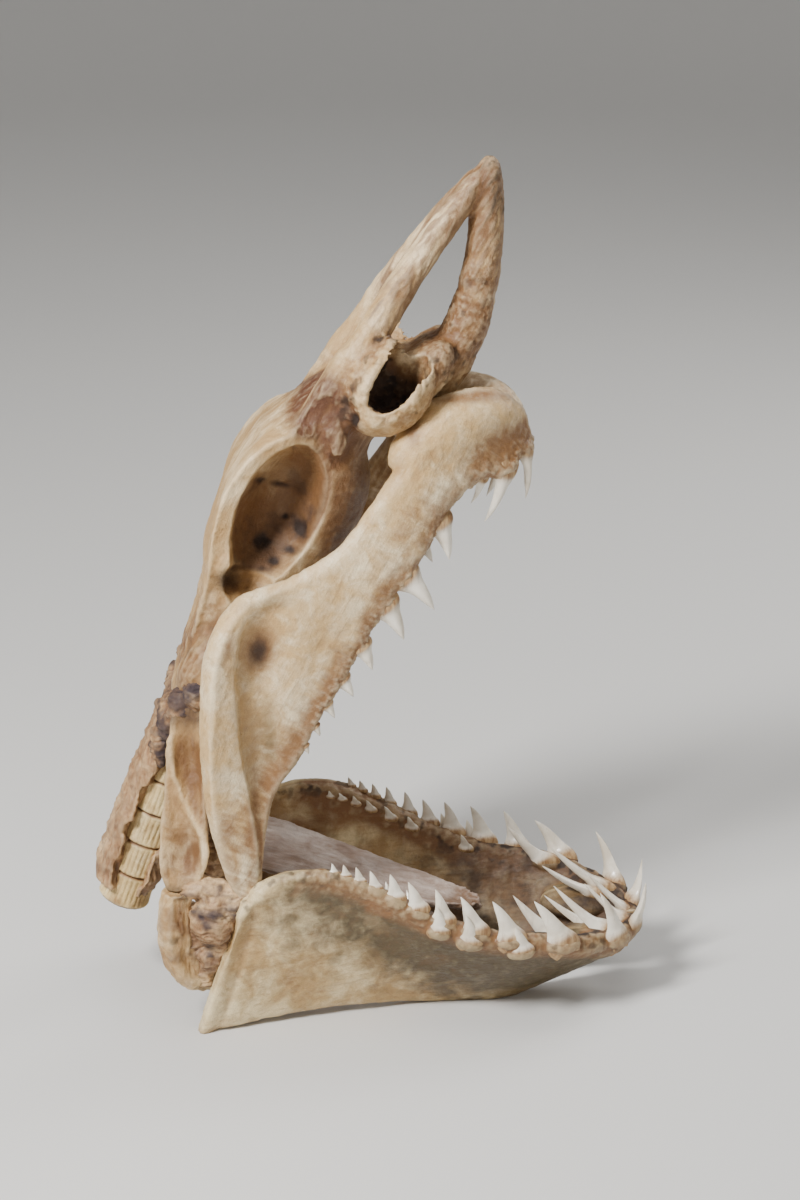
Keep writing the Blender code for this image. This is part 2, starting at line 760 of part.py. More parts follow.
def backbone(home):
    """The centra as one waisted column, with the rough neural arch along its back."""
    work = collection("work")
    stations = []
    for k in range(CENTRA):
        for share, radius in ((0.0, CENTRUM_RADIUS), (0.5, CENTRUM_WAIST)):
            centre = SPINE_TOP.lerp(SPINE_END, (k + share) / CENTRA)
            stations.append([*centre, radius])
    stations.append([*SPINE_END, CENTRUM_RADIUS])
    column = tube("vertebral_column", stations, -1, work, sides=14)
    top, end, radius_top, radius_end = NEURAL_ARCH
    arch = collection("arch")
    line = []
    for k in range(CENTRA + 1):
        share = k / CENTRA
        centre = Vector(top).lerp(Vector(end), share)
        line.append([*centre, radius_top + (radius_end - radius_top) * share])
    tube("neural", line, -1, arch, sides=10, flat=1.1)
    fuse(column, arch)
    cutters = collection("cutters", hidden=True)
    cranium_pieces(cutters, GAP)
    cut(column, cutters)
    finish(column, "vertebral_column", "vertebra", home)
    drop(work)


def tongue_ring(values, grow):
    x, wide, high, thick = values
    points = []
    for face in (1, -1):
        for k in range(7):
            c = (k / 3 - 1) * face
            lift = TONGUE_DIP * c * c - TONGUE_DIP
            half = 0.5 * thick * math.sqrt(max(0.0, 1 - 0.96 * c * c)) + grow
            points.append(Vector((x, -c * (wide + grow), high + lift + face * half)))
    return [place(p) for p in points]


def tongue_body(name, group, grow=0.0):
    rows = rod_points(TONGUE, 14)
    rows[0][0] -= grow
    rows[-1][0] += grow
    return loft(name, [tongue_ring(row, grow) for row in rows], group)


def tongue(home):
    work = collection("work")
    plate = tongue_body("basihyal", work)
    finish(plate, "basihyal", "tongue", home)
    drop(work)


def hyoid(side, word, home):
    work = collection("work")
    arm = blade(f"hyomandibula_{word}", HYOMANDIBULA, side, -1, work, rings=14)
    cutters = collection("cutters", hidden=True)
    cranium_pieces(cutters, GAP)
    cut(arm, cutters)
    finish(arm, f"hyomandibula_{word}", "cartilage", home)
    bar = tube(f"ceratohyal_{word}", rod_points(CERATOHYAL, 18), side, work, sides=8)
    cutters = collection("cutters", hidden=True)
    blade("arm", HYOMANDIBULA, side, -1, cutters, rings=14, grow=GAP)
    blade("lower", lower_rows(side), side, -1, cutters, grow=GAP)
    tongue_body("plate", cutters, GAP)
    cut(bar, cutters)
    finish(bar, f"ceratohyal_{word}", "cartilage", home)
    drop(work)


def joint_tissue(side, word, home):
    """The dried lump behind a jaw joint, cut clear of all that it binds."""
    work = collection("work")
    lumps = collection("lumps")
    for centre, axes in JOINT_TISSUE[1:]:
        table_ellipsoid("lump", centre, axes, side, lumps)
    lump = table_ellipsoid(f"joint_{word}", *JOINT_TISSUE[0], side, work)
    fuse(lump, lumps)
    cutters = collection("cutters", hidden=True)
    blade("lower", lower_rows(side), side, -1, cutters, grow=GAP)
    blade("upper", UPPER_JAW, side, -1, cutters, rings=30, grow=GAP)
    blade("arm", HYOMANDIBULA, side, -1, cutters, rings=14, grow=GAP)
    tube("bar", rod_points(CERATOHYAL, 18), side, cutters, sides=8, grow=GAP)
    cut(lump, cutters)
    finish(lump, f"jaw_joint_{word}", "tissue", home)
    drop(work)


def main():
    clear_scene()
    home = collection("mako_skull")
    cranium(home)
    snout_rods(home)
    backbone(home)
    tongue(home)
    for side, word in ((-1, "right"), (1, "left")):
        lower_jaw(side, f"lower_jaw_{word}", home)
        upper_jaw(side, f"upper_jaw_{word}", home)
        hyoid(side, word, home)
        joint_tissue(side, word, home)


main()
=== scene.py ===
"""A mako shark's dried skull, dressed: the forms of the solids at a finer scale, with
curved teeth, tooth sockets, foramina, fluted vertebrae, dried tissue, fibres and stains,
on a pale floor under soft light. The tables repeat the solids' tables, in millimetres.
"""

import math
import random

import bmesh
import bpy
import numpy as np
from mathutils import Euler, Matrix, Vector


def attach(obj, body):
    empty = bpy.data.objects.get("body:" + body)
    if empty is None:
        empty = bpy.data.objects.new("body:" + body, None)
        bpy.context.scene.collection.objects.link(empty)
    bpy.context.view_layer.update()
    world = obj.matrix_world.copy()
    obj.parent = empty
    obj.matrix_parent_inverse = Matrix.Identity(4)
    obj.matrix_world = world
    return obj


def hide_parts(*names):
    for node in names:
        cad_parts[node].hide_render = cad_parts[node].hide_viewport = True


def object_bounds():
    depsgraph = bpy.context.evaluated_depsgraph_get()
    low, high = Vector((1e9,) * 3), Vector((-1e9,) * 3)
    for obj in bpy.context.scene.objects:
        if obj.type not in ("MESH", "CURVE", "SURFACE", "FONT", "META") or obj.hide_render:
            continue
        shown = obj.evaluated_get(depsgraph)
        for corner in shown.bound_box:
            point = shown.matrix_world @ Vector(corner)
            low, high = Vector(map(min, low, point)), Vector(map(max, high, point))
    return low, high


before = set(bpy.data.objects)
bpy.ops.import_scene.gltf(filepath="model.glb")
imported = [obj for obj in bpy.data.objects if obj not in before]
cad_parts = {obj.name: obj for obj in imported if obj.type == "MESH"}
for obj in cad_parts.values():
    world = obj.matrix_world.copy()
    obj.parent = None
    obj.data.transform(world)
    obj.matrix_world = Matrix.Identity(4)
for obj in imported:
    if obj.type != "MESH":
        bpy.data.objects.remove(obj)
cad_box = [[float(x) for x in corner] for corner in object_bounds()]

MM = 0.001
SHIFT = np.array((16.6, 0.0, 0.0))
VOXEL = 0.0009

# Distances that keep the pieces inside the solids' box and set the depth of the marks, at which
# the painted shade of creases and broad hollows is full.
BOX_INSET = 0.02
HOLLOW_DEPTH = 0.5
SHADE_DEPTH = 3.0

# Blades of cartilage: low edge, high edge, thickness at the low edge, between and at the high
# edge, bow, and the place and height of the outer ridge.
LOWER_JAW = [
    ((-120, -65, -2), (-94, -69, 82), 8, 10, 15, 0, 0.2, 0),
    ((-104, -61, 1), (-83, -68, 97), 9, 8, 17, 1, 0.2, 0),
    ((-76, -51, 3), (-62, -66, 105), 9, 8, 14, 3, 0.2, 0),
    ((-45, -41, 4), (-38, -65, 104), 9, 8, 13, 4, 0.2, 0),
    ((-10, -31, 3), (-10, -65, 92), 9, 8, 13, 4, 0.2, 0),
    ((25, -22, 0), (25, -64, 74), 9, 8, 14, 4, 0.2, 0),
    ((60, -15, -2), (56, -62, 63), 10, 9, 14, 4, 0.2, 0),
    ((88, -9, 8), (86, -58, 58), 11, 9, 14, 4, 0.2, 0),
    ((110, -6, 19), (110, -50, 53), 11, 10, 14, 4, 0.2, 0),
    ((127, -4, 29), (129, -35, 49), 11, 10, 13, 3, 0.2, 0),
    ((136, -2, 35), (141, -16, 47), 10, 10, 11, 2, 0.2, 0),
    ((139, 1, 37), (144, 2, 47), 10, 10, 11, 0, 0.2, 0),
]
UPPER_JAW = [
    ((-99, -63, 91), (-81, -62, 85), 12, 12, 11, 0, 0.9, 0),
    ((-109, -66, 126), (-80, -60, 112), 12, 10, 9, 0, 0.9, 3),
    ((-114, -71, 166), (-74, -57, 148), 12, 8, 8, -1, 0.66, 6),
    ((-114, -74, 210), (-59, -54, 172), 12, 7, 9, -2, 0.40, 7),
    ((-109, -72, 249), (-45, -52, 199), 11, 7, 11, -1, 0.25, 6),
    ((-92, -67, 275), (-34, -50, 217), 10, 8, 12, 1, 0.15, 3),
    ((-64, -60, 284), (-19, -48, 244), 10, 9, 13, 3, 0.2, 0),
    ((-37, -54, 299), (-3, -45, 270), 10, 11, 13, 3, 0.2, 0),
    ((-16, -48, 325), (12, -41, 290), 11, 12, 13, 3, 0.2, 0),
    ((2, -42, 352), (27, -34, 317), 14, 15, 14, 3, 0.2, 0),
    ((7, -35, 366), (43, -27, 331), 15, 16, 13, 3, 0.2, 0),
    ((23, -25, 375), (58, -20, 334), 14, 15, 12, 2, 0.2, 0),
    ((44, -13, 378), (70, -10, 341), 13, 15, 11, 1, 0.2, 0),
    ((58, 1, 372), (74, 2, 349), 12, 13, 10, 0, 0.2, 0),
]
RIDGE_FALL = 0.10
# Bars, rods and rolls have stations of centre and radius.
PALATINE_ROLL = [
    (2, -39, 340, 9), (7, -36, 350, 14), (22, -28, 361, 18), (38, -20, 366, 18),
    (51, -13, 367, 15.5), (62, -6, 361, 12), (68, -2, 354, 8),
]
# The pad under the front teeth: centre and half axes.
GUM_PAD = ((112, -27, 41), (25, 17, 10))
# The braincase: along, roof, edge out, edge up, wall, base out, base up. This table and those
# down to MEDIAL_ROD are in the head's directions.
CRANIUM = [
    (-10, 10, 18, 4, 21, 13, -19), (12, 18, 27, 13, 36, 20, -27), (45, 26, 33, 22, 45, 25, -32),
    (78, 34, 41, 31, 47, 27, -33), (98, 44, 50, 38, 46, 25, -32), (118, 48, 51, 46, 44, 23, -31),
    (145, 52, 50, 51, 41, 22, -29), (172, 50, 48, 46, 40, 20, -23),
    (192, 43, 43, 33, 35, 18, -11), (212, 35, 37, 24, 30, 18, -14),
    (236, 20, 26, 13, 22, 17, -26), (256, 0, 14, -8, 15, 11, -34),
]
# Balls and the cutters of hollows have a centre, half axes and a turn in degrees.
ORBIT = ((143, 60, 16), (47, 46, 26), 8)
PREORBITAL_HOLLOW = ((205, 53, 25), (17, 17, 23), 24)
NASAL_CAPSULE = ((235, 34, 0), (30, 19, 25), -8)
NASAL_HOLLOW = ((242, 35, -1), (26, 17, 18), -8)
NASAL_OPENING = ((247, 55, -1), (24, 26, 12), -10)
OTIC_CAPSULE = ((40, 34, 2), (30, 17, 20), 0)
POSTORBITAL = ((104, 42, 28), (13, 11, 12), 15)
POSTORBITAL_NOTCH = ((99, 58, 11), (21, 25, 17), 10)
PREORBITAL = [
    (210, 27, 24, 9), (202, 31, 16, 9), (194, 34, 9, 6.5), (187, 37, 4, 2.5),
]
ROSTRAL_WEB = ((248, 18, -17), (24, 15, 12), -6)
INTERNASAL = ((250, 0, -15), (20, 30, 13), -15)
LATERAL_ROD = [
    (190, 33, 27, 9), (225, 30, 25, 10), (252, 27, 22, 9.5), (277, 22, 21, 9), (301, 16, 19, 8.5),
    (327, 10, 16, 8), (347, 5, 13, 7.5), (361, 1, 11, 5.5),
]
MEDIAL_ROD = [
    (226, 0, -18, 12), (250, 0, -25, 14.5), (272, 0, -26, 13.5), (296, 0, -22, 12),
    (320, 0, -13.5, 10.5), (342, 0, -3, 10), (357, 0, 5, 9), (368, 0, 10, 6), (372, 0, 11.5, 2),
]
SPINE_TOP = np.array((-125.0, 0.0, 178.0))
SPINE_END = np.array((-169.0, 0.0, 57.0))
CENTRA = 6
CENTRUM_RADIUS = 16.5
NEURAL_ARCH = ((-136, 0, 184), (-176, 0, 72), 9.0, 6.5)
SPINE_TISSUE = [
    (-106, 0, 213, 15), (-119, 0, 188, 20), (-131, 0, 165, 20.5), (-152, 0, 112, 21),
    (-165, 0, 78, 21), (-169, 0, 68, 18.5),
]
HYOMANDIBULA = [
    ((-132, -42, 204), (-113, -46, 204), 9, 8, 8, 0, 0.2, 0),
    ((-134, -48, 181), (-112, -54, 178), 8, 5, 7, -3, 0.2, 0),
    ((-137, -54, 154), (-112, -60, 151), 7, 5, 7, -4, 0.2, 0),
    ((-140, -58, 126), (-112, -62, 124), 8, 5, 8, -4, 0.2, 0),
    ((-141, -60, 104), (-114, -62, 104), 9, 7, 9, -3, 0.2, 0),
    ((-137, -60, 91), (-119, -61, 92), 10, 10, 9, 0, 0.2, 0),
]
CERATOHYAL = [
    (-131, -61, 90, 9), (-133, -62, 72, 10), (-131, -61, 50, 10), (-121, -57, 33, 9),
    (-100, -46, 33, 7.5), (-70, -34, 50, 7), (-40, -27, 60, 6.5), (-10, -18, 57, 6),
    (16, -10, 52, 5),
]
# The tongue's plate: along, half width, height and thickness.
TONGUE = [
    (-92, 37, 96, 4), (-70, 38, 90, 5), (-40, 35, 79, 6), (-10, 28, 70, 6), (20, 19, 62, 6),
    (40, 11, 57, 5), (49, 4, 55, 3),
]
TONGUE_DIP = 5.0
# Lumps of tissue have a centre and half axes.
JOINT_TISSUE = [
    ((-110, -66, 74), (14, 11, 16)), ((-98, -65, 82), (11, 7, 13)), ((-114, -61, 92), (17, 8, 7)),
    ((-104, -60, 62), (11, 8, 16)), ((-113, -59, 48), (10, 8, 13)), ((-117, -57, 34), (9, 8, 9)),
    ((-123, -58, 60), (8, 7, 22)),
]
NECK_TISSUE = [
    ((-114, -46, 208), (13, 8, 9)), ((-124, -40, 198), (12, 9, 13)),
    ((-106, -48, 217), (8, 6, 11)), ((-133, -26, 186), (10, 14, 16)),
    ((-141, -16, 166), (7, 12, 15)),
]
# Teeth: place along the jaw, height, width, lean and splay in degrees.
LOWER_TEETH = [
    (142, 28, 14, 20, 12), (129, 33, 16, -8, 16), (95, 30, 18, -26, 10), (65, 25, 17, -14, 8),
    (44, 23, 16, -12, 8), (25, 20, 15, -8, 7), (10, 16, 13, -6, 6), (-3, 14, 12, -4, 5),
    (-15, 11, 10, -4, 5), (-24, 8.5, 8, -4, 4), (-32, 6.5, 7, -4, 3), (-39, 5.5, 6, -4, 2),
]
UPPER_TEETH = [
    (71, 28, 13, 12, 10), (59, 31, 15, -10, 8), (46, 16, 9, -14, 4), (22, 22, 17, 26, 4),
    (4, 25, 19, 44, 4), (-8, 23, 19, 38, 4), (-22, 16, 15, 34, 3), (-33, 12, 12, 36, 3),
    (-42, 9, 9, 32, 2), (-49, 6.5, 7, 30, 2), (-55, 5, 6, 28, 0),
]
LEFT_ROW_FORWARD = 8.0
LEFT_ROW_LIFT = 4.0
# Teeth inside the row: the tooth they stand behind, the row inward of the big ones, and size.
LOWER_RESERVE = [(0, 1, 1.0), (1, 1, 1.1), (1, 2, 1.0), (2, 1, 0.95)]
SMALL_RESERVE = [(4, 0.6), (6, 0.7), (7, 0.75), (8, 0.8), (9, 0.85), (10, 0.9), (11, 0.9)]
OUTER_TEETH = [(70, 17, 16, -2, 16), (41, 17, 14, 2, 14), (23, 16, 13, 0, 12)]
# How far out from a blade's edge and down from it each row of teeth stands.
LOWER_SEAT = (0.8, -1.0)
OUTER_SEAT = (6.4, 3.5)
UPPER_SEAT = (1.8, 0.5)
SMALL_INWARD = 5.3
SMALL_DROP_LEFT = 8.0
SMALL_DROP_RIGHT = 11.5
RESERVE_STEP = 9.0
RESERVE_LEAN = 50.0
RESERVE_LEAN_STEP = 14.0
ROOT_SHARE = 0.28
TOOTH_BEND = 0.2
SIZE_SPREAD = 0.06
TURN_SPREAD = 4.0
TOOTH_SIDES = 22
LOWER_SEED = 11
UPPER_SEED = 29
# A turn between the octaves of noise, which hides the grid that it's made on.
NOISE_TURN = np.array(Euler((0.62, 0.81, 0.47)).to_matrix())

# The head's own directions: along its axis, outward from the middle, and up its back.
PITCH = math.radians(60.0)
HEAD_ORIGIN = np.array((-125.0, 0.0, 185.0))
HEAD_AXES = np.array([
    (math.cos(PITCH), 0.0, math.sin(PITCH)),
    (0.0, -1.0, 0.0),
    (-math.sin(PITCH), 0.0, math.cos(PITCH)),
])

# The camera, whose picture plane also places marks on the surfaces it faces.
VIEW_ELEVATION = math.radians(20.0)
VIEW_DISTANCE = 1700.0
VIEW_TARGET = np.array((0.0, 0.0, 250.0))
PIXELS_PER_MM = 1.7

# Picture places on the upper jaw where stains lie; the first, in the fossa beside the ridge, is
# partly painted shade of that hollow.
UPPER_STAINS = [
    (262, 652, 22, 30, 12, 0.9), (228, 648, 8, 22, 12, 0.8), (226, 830, 16, 22, 0, 0.7),
    (395, 470, 14, 30, 20, 0.5), (330, 712, 18, 26, 30, 0.6), (300, 770, 16, 40, 25, 0.5),
    (408, 520, 12, 60, 32, 0.35), (505, 440, 40, 16, -25, 0.9), (470, 396, 60, 10, -4, 0.9),
    (411, 425, 12, 26, -10, 0.9), (245, 605, 30, 8, -12, 0.4), (243, 800, 10, 60, -8, 0.35),
    (225, 860, 8, 40, -20, 0.4),
]
# Picture places of the small holes in the orbit.
ORBIT_HOLES = [
    (300, 528, 7, 9, 0, 1), (262, 541, 9, 8, 0, 1), (292, 551, 8, 5, 20, 1),
    (281, 485, 10, 2.5, 12, 0.8), (262, 481, 5, 3, 0, 0.7), (294, 448, 4, 3, 0, 0.6),
    (275, 562, 6, 5, 0, 0.9), (285, 516, 3, 3, 0, 0.7),
]


# Forms


def flat(rows):
    """A table as an array with one row of numbers for each station."""
    return np.array([np.hstack(row) for row in rows], float)


def spline(rows, t):
    """Catmull-Rom values of a table at many places t, from 0 to len(rows) - 1."""
    last = len(rows) - 1
    t = np.atleast_1d(np.asarray(t, float))
    i = np.clip(t.astype(int), 0, last - 1)
    f = (t - i)[:, None]
    a, b = rows[np.maximum(i - 1, 0)], rows[i]
    c, d = rows[i + 1], rows[np.minimum(i + 2, last)]
    return 0.5 * (2 * b + (c - a) * f + (2 * a - 5 * b + 4 * c - d) * f**2
                  + (3 * b - a - 3 * c + d) * f**3)


def unit(v):
    return v / np.maximum(np.linalg.norm(v, axis=-1, keepdims=True), 1e-12)


def mirrored(points, side):
    """Table points are on the animal's right: side 1 moves them to its left."""
    return np.asarray(points, float) * (1.0, -side, 1.0)


def grid_shell(rings):
    """A closed shell through rings of equal point counts, with a fan on each end."""
    count, sides = rings.shape[:2]
    points = rings.reshape(-1, 3)
    start = np.arange(count - 1)[:, None] * sides
    k = np.arange(sides)[None, :]
    n = (k + 1) % sides
    quads = np.stack([start + k, start + n, start + sides + n, start + sides + k], -1)
    faces = quads.reshape(-1, 4).tolist()
    caps = np.array([rings[0].mean(0), rings[-1].mean(0)])
    first = len(points)
    end = (count - 1) * sides
    for j in range(sides):
        faces.append([j, first, (j + 1) % sides])
        faces.append([end + j, end + (j + 1) % sides, first + 1])
    return np.vstack([points, caps]), faces


def blade_frame(rows, t):
    """A blade's values, chord, outward normal and run at many places t."""
    step = 0.05
    last = len(rows) - 1
    values = spline(rows, t)
    low, high = spline(rows, np.maximum(t - step, 0)), spline(rows, np.minimum(t + step, last))
    chord = values[:, 3:6] - values[:, :3]
    run = (high[:, :3] + high[:, 3:6]) - (low[:, :3] + low[:, 3:6])
    normal = unit(np.cross(run, chord))
    normal = np.where(normal[:, 1:2] > 0, -normal, normal)
    return values, chord, normal, unit(run)


def blade(rows, side, rings=170, points=34):
    """A plate of cartilage between two edges, with its outer face's ridge."""
    rows = flat(rows)
    t = np.linspace(0, len(rows) - 1, rings)
    values, chord, normal, _ = blade_frame(rows, t)
    length = np.linalg.norm(chord, axis=1, keepdims=True)
    c = 0.5 * (1 - np.cos(np.pi * np.linspace(0, 1, points)))[None, :]
    thick_a, thick_m, thick_b, bow, at, high = (values[:, k : k + 1] for k in range(6, 12))
    round_a = np.clip(0.5 * thick_a / length, 0.06, 0.45)
    round_b = np.clip(0.5 * thick_b / length, 0.06, 0.45)
    ends = np.sqrt(np.clip(1 - (1 - np.minimum(c / round_a, 1)) ** 2, 0, 1))
    ends = ends * np.sqrt(np.clip(1 - (1 - np.minimum((1 - c) / round_b, 1)) ** 2, 0, 1))
    thick = thick_a * (1 - c) * (1 - 2 * c) + thick_m * 4 * c * (1 - c) + thick_b * c * (2 * c - 1)
    half = 0.5 * thick * ends
    rise = np.clip((c - at) / RIDGE_FALL + 0.5, 0, 1)
    ridge = high * (1 - rise * rise * (3 - 2 * rise)) * np.minimum(1, c / 0.06)
    middle = values[:, None, :3] + chord[:, None] * c[..., None]
    offset = bow * 4 * c * (1 - c)
    outer = middle + normal[:, None] * (offset + half + ridge)[..., None]
    inner = middle + normal[:, None] * (offset - half)[..., None]
    ring = np.concatenate([outer, inner[:, -2:0:-1]], 1)
    return grid_shell(mirrored(ring, side))


def tube(stations, side, sides=40):
    """A round bar through stations of centre and radius."""
    stations = np.asarray(stations, float)
    centres = stations[:, :3]
    run = unit(np.gradient(centres, axis=0))
    across = unit(np.cross(run, (0, 1, 0)))
    over = unit(np.cross(across, run))
    turn = np.linspace(0, 2 * np.pi, sides, endpoint=False)[None, :, None]
    offset = across[:, None] * np.cos(turn) + over[:, None] * np.sin(turn)
    return grid_shell(mirrored(centres[:, None] + offset * stations[:, 3][:, None, None], side))


def rod(rows, count=90):
    """Many stations along a table."""
    rows = flat(rows)
    return spline(rows, np.linspace(0, len(rows) - 1, count))


def from_head(points):
    return np.asarray(points, float) @ HEAD_AXES + HEAD_ORIGIN


def to_head(points):
    return (points - HEAD_ORIGIN) @ HEAD_AXES.T


def head_tube(rows, side):
    rows = rod(rows, 110)
    return tube(np.hstack([from_head(rows[:, :3]), rows[:, 3:]]), side)


def roughened(shell, amount, size, seed):
    """A cutter whose surface wanders, so that it leaves a ragged edge."""
    points, faces = shell
    out = unit(points - points.mean(0))
    return points + out * (amount * noise(points, size, seed))[:, None], faces


def ball(centre, axes, columns=None, segments=40, rings=24):
    """An ellipsoid shell, along the scene's axes or the given unit columns."""
    theta = np.linspace(0.04, np.pi - 0.04, rings)[:, None]
    phi = np.linspace(0, 2 * np.pi, segments, endpoint=False)[None, :]
    sphere = np.stack([np.sin(theta) * np.cos(phi), np.sin(theta) * np.sin(phi),
                       np.cos(theta) + 0 * phi], -1)
    sphere = sphere * np.asarray(axes, float)
    if columns is not None:
        sphere = sphere @ np.asarray(columns)
    return grid_shell(sphere + np.asarray(centre, float))


def head_ball(sizes, side, segments=40, rings=24):
    centre, axes, turn = sizes
    lean = math.radians(turn)
    forward = HEAD_AXES[0] * math.cos(lean) + HEAD_AXES[2] * math.sin(lean)
    upward = HEAD_AXES[2] * math.cos(lean) - HEAD_AXES[0] * math.sin(lean)
    middle = mirrored(from_head(centre), side)
    return ball(middle, axes, [forward, (0, 1, 0), upward], segments, rings)


def side_ball(centre, axes, side):
    return ball(mirrored(centre, side), axes)


def cranium_shell(rings=120, points=64):
    half_rows = []
    for along, roof, edge_out, edge_up, wall, base_out, base_up in rod(CRANIUM, rings):
        corners = np.array([
            (0, roof),
            (0.55 * edge_out, roof + 0.35 * (edge_up - roof)),
            (edge_out, edge_up),
            (edge_out, edge_up - 5),
            (wall, 0.55 * edge_up + 0.45 * base_up),
            (0.5 * (wall + base_out), 0.2 * edge_up + 0.8 * base_up),
            (base_out, base_up + 3),
            (0.5 * base_out, base_up - 1),
            (0, base_up - 2),
        ])
        half = spline(corners, np.linspace(0, 8, points))
        whole = np.vstack([half, half[-2:0:-1] * (-1, 1)])
        half_rows.append(np.hstack([np.full((len(whole), 1), along), whole]))
    return grid_shell(from_head(np.array(half_rows)))


# Meshes


def mesh_of(name, shells):
    """One mesh in metres from shells in table millimetres."""
    points, faces, count = [], [], 0
    for p, f in shells:
        points.append(p)
        faces.extend([[i + count for i in face] for face in f])
        count += len(p)
    mesh = bpy.data.meshes.new(name)
    mesh.from_pydata(((np.vstack(points) + SHIFT) * MM).tolist(), [], faces)
    shape = bmesh.new()
    shape.from_mesh(mesh)
    bmesh.ops.recalc_face_normals(shape, faces=shape.faces)
    shape.to_mesh(mesh)
    shape.free()
    return mesh


def new_object(name, data):
    obj = bpy.data.objects.new(name, data)
    bpy.context.scene.collection.objects.link(obj)
    return obj


def remesh(obj, size):
    modifier = obj.modifiers.new("remesh", "REMESH")
    modifier.mode = "VOXEL"
    modifier.voxel_size = size


def fused(name, shells, cutters=(), smooth=4):
    """Shells grown together into one skin, with cutters taken out of it."""
    obj = new_object(name, mesh_of(name, shells))
    helpers = []
    if cutters:
        remesh(obj, VOXEL * 1.3)
        for number, cutter in enumerate(cutters):
            helper = new_object(f"{name}_cut_{number}", mesh_of(name, [cutter]))
            helper.hide_render = True
            helpers.append(helper)
            cut = obj.modifiers.new("cut", "BOOLEAN")
            cut.operation = "DIFFERENCE"
            cut.solver = "MANIFOLD"
            cut.object = helper
    remesh(obj, VOXEL)
    soften = obj.modifiers.new("soften", "SMOOTH")
    soften.factor = 0.5
    soften.iterations = smooth
    bpy.context.view_layer.update()
    graph = bpy.context.evaluated_depsgraph_get()
    mesh = bpy.data.meshes.new_from_object(obj.evaluated_get(graph))
    obj.modifiers.clear()
    old = obj.data
    obj.data = mesh
    bpy.data.meshes.remove(old)
    for helper in helpers:
        bpy.data.objects.remove(helper, do_unlink=True)
    return Skin(obj)


def read(items, key, kind=np.float32, width=3):
    """One kind of a mesh's values, as an array with a row for each item."""
    values = np.empty(len(items) * width, kind)
    items.foreach_get(key, values)
    return values.reshape(-1, width)


def paint(mesh, name, values):
    """A mark from 0 to 1 on each point, for the materials to read."""
    attribute = mesh.attributes.new(name, "FLOAT", "POINT")
    attribute.data.foreach_set("value", np.clip(values, 0, 1).astype(np.float32))


class Skin:
    """A piece's points in table millimetres, and its normals."""

    def __init__(self, obj):
        self.obj = obj
        self.points = read(obj.data.vertices, "co").astype(float) / MM - SHIFT
        self.edges = read(obj.data.edges, "vertices", np.int32, 2)
        self.normals = read(obj.data.vertices, "normal").astype(float)

    def average(self, values, times):
        """Values spread over the mesh's neighbours this many times."""
        a, b = self.edges[:, 0], self.edges[:, 1]
        count = len(self.points)
        weight = np.bincount(a, minlength=count) + np.bincount(b, minlength=count) + 1.0
        values = np.array(values, float)
        columns = values.reshape(count, -1)
        for _ in range(times):
            for k in range(columns.shape[1]):
                v = columns[:, k]
                total = np.bincount(a, v[b], count) + np.bincount(b, v[a], count) + v
                columns[:, k] = total / weight
        return columns.reshape(values.shape)

    def push(self, amount):
        """Moves the surface out along its normals by millimetres."""
        self.points = self.points + self.normals * np.asarray(amount)[:, None]

    def relax(self, times, share):
        """Moves the surface towards its blurred form by this share of the way."""
        moved = self.average(self.points, times) - self.points
        self.points = self.points + moved * share[:, None]

    def fillet(self, times, reach, rounds=2):
        """Fills the creases where forms meet, and leaves what stands proud."""
        for _ in range(rounds):
            moved = self.average(self.points, times) - self.points
            share = self.average(ease(0, reach, (moved * self.normals).sum(1)), 3)
            self.points = self.points + moved * share[:, None]
            self.write()

    def write(self):
        """Writes the points, kept within the solids' box, and reads the new normals."""
        low, high = (np.array(corner) / MM for corner in cad_box)
        points = np.clip(self.points + SHIFT, low + BOX_INSET, high - BOX_INSET)
        self.obj.data.vertices.foreach_set("co", (points * MM).astype(np.float32).ravel())
        self.obj.data.update()
        self.normals = read(self.obj.data.vertices, "normal").astype(float)

    def finish(self, times=14, **marks):
        """Writes the points and the marks, with those of the final form's hollows and edges:
        painted shade for its hollows, and paler raised edges.
        """
        self.write()
        blurred = self.average(self.points, times)
        depth = ((blurred - self.points) * self.normals).sum(1)
        wide = self.average(blurred, 5 * times)
        # Painted shade: how far the surface lies below its blurred form, broadly (shade) and in
        # creases (hollow).
        marks["shade"] = ((wide - self.points) * self.normals).sum(1) / SHADE_DEPTH
        marks["hollow"] = depth / HOLLOW_DEPTH
        marks["worn"] = -depth / HOLLOW_DEPTH
        for name, values in marks.items():
            paint(self.obj.data, name, values)
        self.obj.data.shade_smooth()


def lattice(cell, seed):
    """A repeatable number from -1 to 1 for each whole-number cell."""
    with np.errstate(over="ignore"):
        n = (cell[:, 0] * 73856093) ^ (cell[:, 1] * 19349663) ^ (cell[:, 2] * 83492791)
        n = (n + seed * 6971) & 0x7FFFFFFF
        n = ((n >> 13) ^ n) * 1274126177 & 0x7FFFFFFF
        n = ((n >> 15) ^ n) * 668265263 & 0x7FFFFFFF
    return (n & 0xFFFF) / 32767.5 - 1.0


def noise(points, size, seed=0, octaves=3, stretch=(1, 1, 1)):
    """Smooth noise with features of this size in millimetres, about -1 to 1."""
    total = np.zeros(len(points))
    gain = 1.0
    p = points / (np.asarray(stretch, float) * size) @ NOISE_TURN
    for octave in range(octaves):
        cell = np.floor(p).astype(np.int64)
        f = p - cell
        u = f * f * (3 - 2 * f)
        value = 0
        for corner in range(8):
            step = np.array([(corner >> k) & 1 for k in range(3)])
            weight = np.prod(np.where(step, u, 1 - u), axis=1)
            value = value + weight * lattice(cell + step, seed + octave)
        total += gain * value
        gain *= 0.5
        p = p @ NOISE_TURN * 2.03 + 17.0
    return total


def ease(low, high, values):
    """A soft step from 0 at low to 1 at high."""
    t = np.clip((values - low) / (high - low), 0, 1)
    return t * t * (3 - 2 * t)


